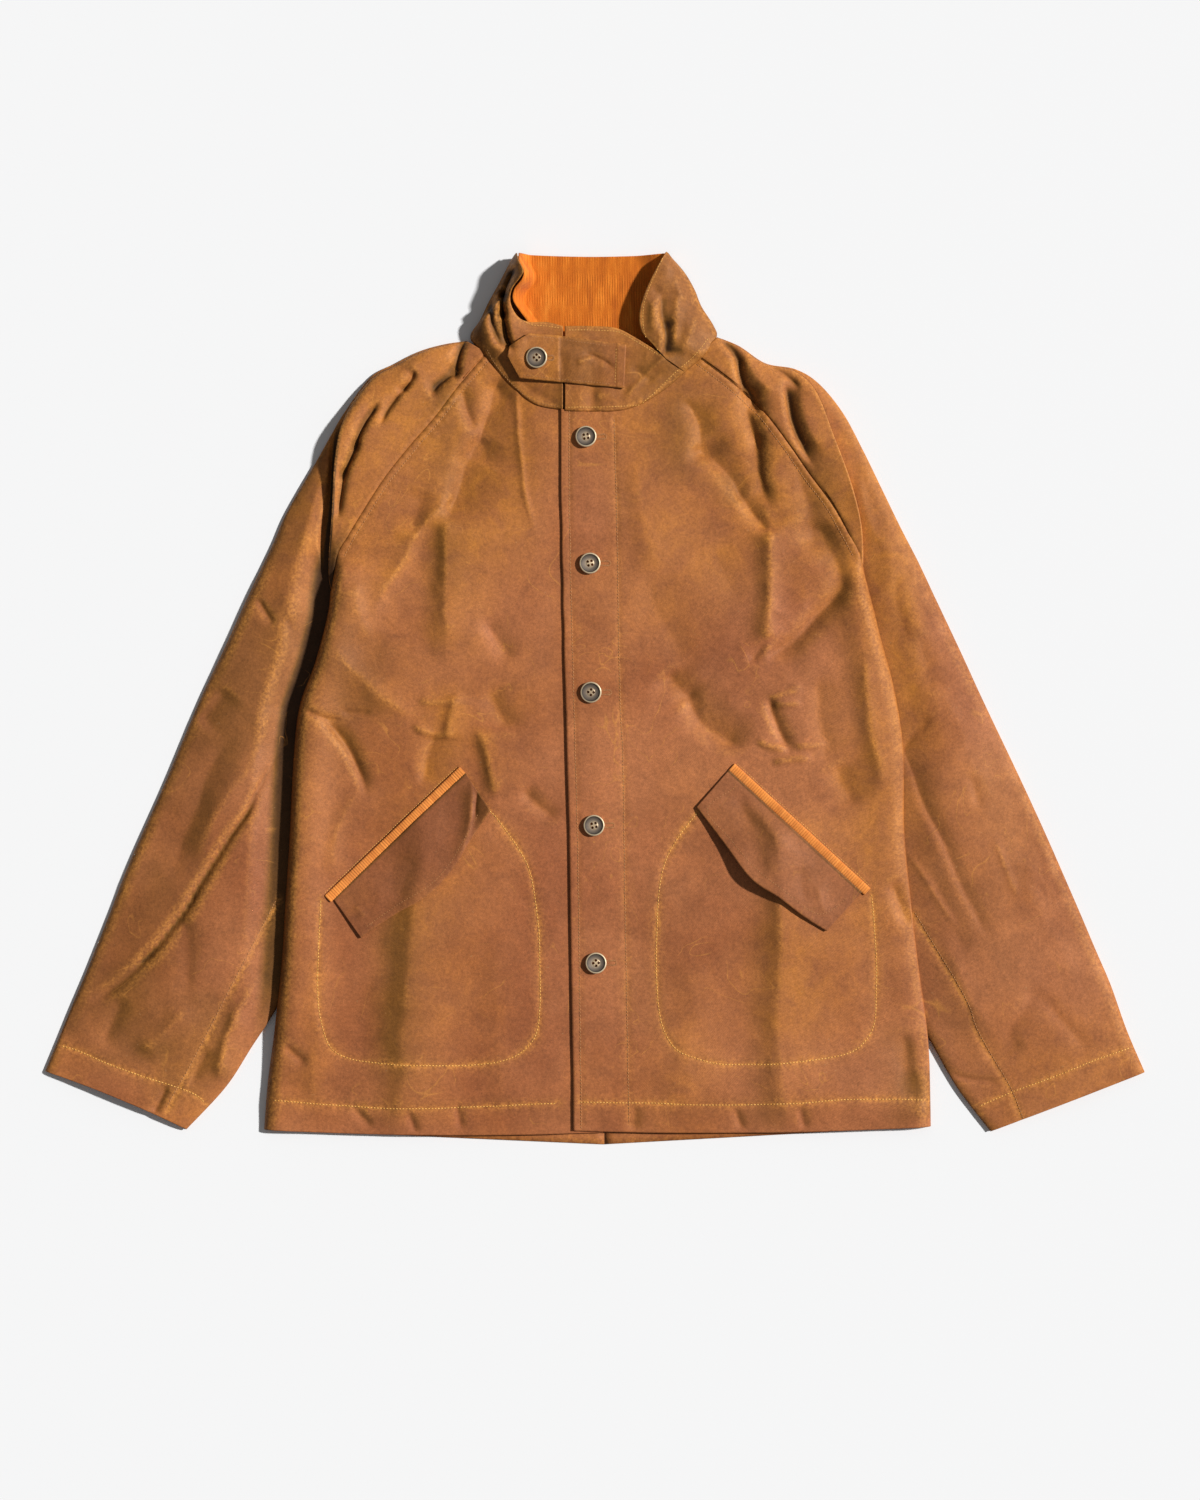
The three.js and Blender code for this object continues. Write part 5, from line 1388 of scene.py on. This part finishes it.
def row_of_stitches(points, surface, pitch):
    """Spots along a smooth line through the points, on the surface."""
    line = curve_points(points, 1.0)
    walked = np.concatenate([[0], np.cumsum(np.hypot(*np.diff(line, axis=0).T))])
    spots = []
    for k in range(1, int(walked[-1] / pitch)):
        at = k * pitch
        x, y = np.interp(at, walked, line[:, 0]), np.interp(at, walked, line[:, 1])
        ahead_x, ahead_y = np.interp(at + 1, walked, line[:, 0]), np.interp(at + 1, walked, line[:, 1])
        z, up = surface.at(x, y)
        if z is None:
            continue
        way = Vector((ahead_x - x, ahead_y - y, 0)).normalized()
        jog = WOBBLE * math.sin(12.9 * k)
        spots.append((Vector(place([x - way.y * jog, y + way.x * jog, z])), laid(way, up), up))
    return spots


def sew(name, points, surface, paint, pitch=3.2, length=2.5, width=0.95):
    """A row of stitches on the surface, along a smooth line through the points."""
    spots = row_of_stitches(points, surface, pitch)
    thread_piece(f"stitches_{name}", *beads_at(spots, length, width), paint)
    print(name, len(spots), "stitches")


# %% Stitches of the body and the sleeves
on_sleeve_right, on_sleeve_left = Surface(sleeve_right), Surface(sleeve_left)
for name, points, surface, paint in (
        ("hem_right", HEM_RIGHT, on_right, GOLDEN_THREAD),
        ("hem_left", HEM_LEFT, on_left, GOLDEN_THREAD),
        ("bag_right", BAG_RIGHT, on_right, GOLDEN_THREAD),
        ("bag_left", BAG_LEFT, on_left, GOLDEN_THREAD),
        ("placket", PLACKET, on_left, TAN_THREAD),
        ("front_edge", SEAM_LINES["front_edge"], on_left, TAN_THREAD),
        ("raglan_right", SEAM_LINES["raglan_right_top"], on_right, TAN_THREAD),
        ("raglan_left", SEAM_LINES["raglan_left_top"], on_left, TAN_THREAD),
        ("cuff_right", CUFF_RIGHT, on_sleeve_right, GOLDEN_THREAD),
        ("cuff_left", CUFF_LEFT, on_sleeve_left, GOLDEN_THREAD),
        ("underarm_right", beside(UNDERARM_RIGHT, 2.5), on_sleeve_right, TAN_THREAD),
        ("underarm_left", beside(UNDERARM_LEFT, -2.5), on_sleeve_left, TAN_THREAD)):
    sew(name, points, surface, paint)

# %% Stitches of the collar, the tab and the pockets
NECK_LEFT = [(-26, 290), (41, 292), (54, 298), (82, 324), (102, 342), (118, 362)]
NECK_RIGHT = [(-32, 291), (-58, 297), (-78, 312), (-96, 333), (-106, 350)]
COLLAR_TOP = [(-25, 367), (0, 367), (23, 366), (31, 363), (50, 352), (68, 341)]
LEAF_EDGE = [(71, 440), (58, 411), (52, 393), (50.5, 375), (55, 357), (70, 344)]
COLLAR_TOP_RIGHT = [(-70, 377), (-60, 372), (-45, 371), (-30, 369)]
TAB_STRIP = [(24, 350), (23.5, 330), (23, 312)]
TAB_LOWER, TAB_UPPER = [(-70, 322), (-34, 318), (20, 313)], [(-62, 360), (-34, 358), (20, 350)]
FLAP_ROW_RIGHT = [(-226, -228), (-192, -204), (-162, -186), (-141, -163), (-126, -138), (-112, -112)]
FLAP_ROW_LEFT = [(143, -88), (115, -110), (137, -139), (162, -168), (190, -190), (226, -214),
                 (256, -196)]
WELT_SEAM = -6.2
on_collar_only, on_tab = Surface(collar_right, collar_left, collar_leaf), Surface(throat_tab)


def line_beside(line, aside):
    """Three points of a straight line, moved aside from it."""
    return [tuple(float(v) for v in beside_line(line, share, aside)) for share in (0.0, 0.5, 1.0)]


for name, points, surface, paint, pitch, length, width in (
        ("neck_left", NECK_LEFT, on_collar_only, GOLDEN_THREAD, 2.9, 2.1, 0.6),
        ("neck_right", NECK_RIGHT, on_collar_only, TAN_THREAD, 2.9, 2.1, 0.55),
        ("collar_top", COLLAR_TOP, on_collar_only, GOLDEN_THREAD, 2.9, 2.1, 0.6),
        ("collar_leaf", LEAF_EDGE, on_collar_only, GOLDEN_THREAD, 2.9, 2.1, 0.6),
        ("collar_right", COLLAR_TOP_RIGHT, on_collar_only, GOLDEN_THREAD, 2.9, 2.1, 0.55),
        ("tab_strip", TAB_STRIP, on_tab, GOLDEN_THREAD, 2.9, 2.1, 0.55),
        ("tab_lower", TAB_LOWER, on_tab, TAN_THREAD, 2.9, 2.1, 0.5),
        ("tab_upper", TAB_UPPER, on_tab, TAN_THREAD, 2.9, 2.1, 0.5),
        ("welt_right", line_beside(WELT_RIGHT, WELT_SEAM), on_right, GOLDEN_THREAD, 2.6, 1.8, 0.6),
        ("welt_left", line_beside(WELT_LEFT, WELT_SEAM), on_left, GOLDEN_THREAD, 2.6, 1.8, 0.6),
        ("flap_right", FLAP_ROW_RIGHT, Surface(flap_right), TAN_THREAD, 3.0, 2.2, 0.55),
        ("flap_left", FLAP_ROW_LEFT, Surface(flap_left), TAN_THREAD, 3.0, 2.2, 0.55)):
    sew(name, points, surface, paint, pitch, length, width)

# %% [markdown]
# ## Buttons
#
# A button is stamped metal: a thick round rim, a dished face with a raised middle, and four
# holes. It is modelled once by hand and copied to its six places, each copy turned a little,
# and thread crosses through its holes.

# %% One button
BUTTON_RADIUS, BUTTON_HEIGHT = 10.5, 3.2
HOLE_RADIUS, HOLE_SPACING = 1.35, 2.7
RIM_BEVEL, DRILL_LONG = 0.75, 12
FACE_STEPS = ((0.7, 0.0), (0.35, -0.75), (2.6, -0.55), (2.0, -0.10), (0.35, 0.22))


def pick_face(mesh, test):
    """Selects only the faces that pass the test."""
    bpy.ops.object.mode_set(mode="OBJECT")
    for element in (*mesh.vertices, *mesh.edges, *mesh.polygons):
        element.select = False
    for polygon in mesh.polygons:
        polygon.select = test(polygon)
    bpy.ops.object.mode_set(mode="EDIT")


def top_face(polygon):
    """Whether a face is the level, many-sided one in the middle of the button's top."""
    level = polygon.normal.z > 0.99
    central = polygon.center.length < 3 * MM + polygon.center.z
    return level and central and len(polygon.vertices) > 20


bpy.ops.mesh.primitive_cylinder_add(vertices=64, radius=BUTTON_RADIUS * MM, depth=BUTTON_HEIGHT * MM)
button = bpy.context.object
button.name = "button_master"
bpy.ops.object.mode_set(mode="EDIT")
bpy.ops.mesh.select_mode(type="FACE")
pick_face(button.data, lambda polygon: abs(polygon.normal.z) > 0.99)
bpy.ops.mesh.bevel(offset=RIM_BEVEL * MM, segments=3, affect="EDGES")
for thickness, drop in FACE_STEPS:
    pick_face(button.data, top_face)
    bpy.ops.mesh.inset(thickness=thickness * MM)
    bpy.ops.transform.translate(value=(0, 0, drop * MM))
bpy.ops.object.mode_set(mode="OBJECT")
bpy.ops.object.select_all(action="DESELECT")
for k in range(4):
    turn = math.radians(45 + 90 * k)
    bpy.ops.mesh.primitive_cylinder_add(
        vertices=16, radius=HOLE_RADIUS * MM, depth=DRILL_LONG * MM,
        location=(HOLE_SPACING * MM * math.cos(turn), HOLE_SPACING * MM * math.sin(turn), 0))
    drill = bpy.context.object
    bpy.context.view_layer.objects.active = button
    cut = button.modifiers.new("hole", "BOOLEAN")
    cut.operation, cut.object, cut.solver = "DIFFERENCE", drill, "EXACT"
    bpy.ops.object.modifier_apply(modifier=cut.name)
    bpy.data.objects.remove(drill)
bpy.ops.object.select_all(action="DESELECT")
button.select_set(True)
bpy.context.view_layer.objects.active = button
bpy.ops.object.shade_smooth_by_angle(angle=math.radians(35))
print("button has", len(button.data.polygons), "faces")

# %% Antique brass


def antique_brass():
    """Darkened brass, polished on its rim and middle, tarnished in the dish."""
    paint = Paint("antique_brass")
    reach = paint.add("SeparateXYZ", Vector=paint.layer("dish")).outputs["X"]
    scratch = paint.noise(420.0, 5.0, 0.65)
    bands = paint.ramp(reach, (0.0, (0.72, 0.52, 0.31)), (0.30, (0.60, 0.44, 0.27)),
                       (0.50, (0.25, 0.19, 0.14)), (0.84, (0.055, 0.044, 0.038)),
                       (0.90, (0.66, 0.52, 0.33)))
    colour = paint.shaded(bands, scratch, (0.3, 0.75), (0.7, 1.2))
    rough = paint.ramp(scratch, (0.3, 0.56), (0.7, 0.4))
    return paint.surface(Base_Color=colour, Metallic=0.55, Roughness=rough)


dish = button.data.uv_layers.new(name="dish")
for loop in button.data.loops:
    co = button.data.vertices[loop.vertex_index].co
    dish.data[loop.index].uv = (math.hypot(co.x, co.y) / (BUTTON_RADIUS * MM), co.z / (BUTTON_HEIGHT * MM))
button.data.materials.clear()
button.data.materials.append(antique_brass())
print("button is", button.data.materials[0].name)

# %% Six buttons and their thread
FRONT_BUTTONS = [(-6, 261), (-2, 135), (-1, 6.5), (2, -126), (4, -263)]
TAB_BUTTON = (-55, 339)
BUTTON_TURNS = (8, 20, -6, 14, 3, 12)
BUTTON_LIFT, BUTTON_SEAT = 0.9, 8
# Near-black thread across the holes: real thread, its black also stands in for the shade inside the holes.
THREAD_AND_HOLE_SHADE = thread("thread_and_hole_shade", (0.030, 0.014, 0.007), (0.07, 0.032, 0.014))


def set_button(number, spot, surface, label):
    """Copies the button to its spot, tilted with the cloth, and sews it on."""
    heights = [surface.at(spot[0] + BUTTON_SEAT * math.cos(a), spot[1] + BUTTON_SEAT * math.sin(a))[0]
               for a in np.linspace(0, 2 * math.pi, 8, endpoint=False)]
    z = float(np.mean([h for h in heights if h is not None])) + BUTTON_LIFT + BUTTON_HEIGHT / 2
    mesh = button.data.copy()
    tilt = Vector((0.05 * math.sin(number * 2.1), 0.05 * math.cos(number * 1.7), 1)).normalized()
    pose = tilt.to_track_quat("Z", "Y").to_matrix().to_4x4()
    pose = pose @ Matrix.Rotation(math.radians(BUTTON_TURNS[number]), 4, "Z")
    pose.translation = Vector(place([*spot, z]))
    mesh.transform(pose)
    piece = add_to_scene(f"brass_button_{label}", mesh)
    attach(piece, "root")
    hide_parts(f"button_{label}")
    across = pose.to_3x3() @ Vector((1, 0, 0))
    spots = []
    for side in (-1, 1):
        for k in range(3):
            offset = pose.to_3x3() @ Vector((0, side * HOLE_SPACING * 0.707 + 0.3 * (k - 1), -0.9)) * MM
            spots.append((pose.translation + offset, across, Vector(tilt)))
    thread_piece(f"thread_button_{label}", *beads_at(spots, 4.4, 0.5), THREAD_AND_HOLE_SHADE)
    print(piece.name, "stands", round(z, 1), "high")


for number, spot in enumerate(FRONT_BUTTONS):
    set_button(number, spot, on_left, number + 1)
set_button(5, TAB_BUTTON, on_tab, "tab")
bpy.data.objects.remove(button)

# %% [markdown]
# ## Buttonholes
#
# Each buttonhole is shown by the close stitches across its lips; the cloth between them is
# left uncut. Most of it hides under the button, and its end shows on the wearer's left.

# %% Buttonholes
SLIT_LONG, SLIT_HALF, EYE_RADIUS = 12.0, 1.7, 2.3
LIP_STITCHES, EYE_STITCHES = 17, 9


def buttonhole(name, spot, surface, start):
    """Close stitches along both lips and round the far end."""
    spots = []
    for k in range(LIP_STITCHES):
        run = k / (LIP_STITCHES - 1)
        for side in (-1, 1):
            x, y = spot[0] + start + SLIT_LONG * run, spot[1] + side * SLIT_HALF * (1 + 0.35 * run)
            z, up = surface.at(x, y)
            lean = Vector((0.25 * side, 1, 0)).normalized()
            spots.append((Vector(place([x, y, z])), laid(lean, up), up))
    for k in range(EYE_STITCHES):
        angle = math.radians(-80 + 20 * k)
        x = spot[0] + start + SLIT_LONG + EYE_RADIUS * math.cos(angle)
        y = spot[1] + EYE_RADIUS * math.sin(angle)
        z, up = surface.at(x, y)
        lean = Vector((math.cos(angle), math.sin(angle), 0))
        spots.append((Vector(place([x, y, z])), laid(lean, up), up))
    thread_piece(name, *beads_at(spots, 2.3, 0.5), TAN_THREAD)
    print(name, len(spots), "stitches")


for number, spot in enumerate(FRONT_BUTTONS):
    buttonhole(f"buttonhole_{number + 1}", spot, on_left, 6.0)
buttonhole("buttonhole_tab", TAB_BUTTON, on_tab, 3.0)
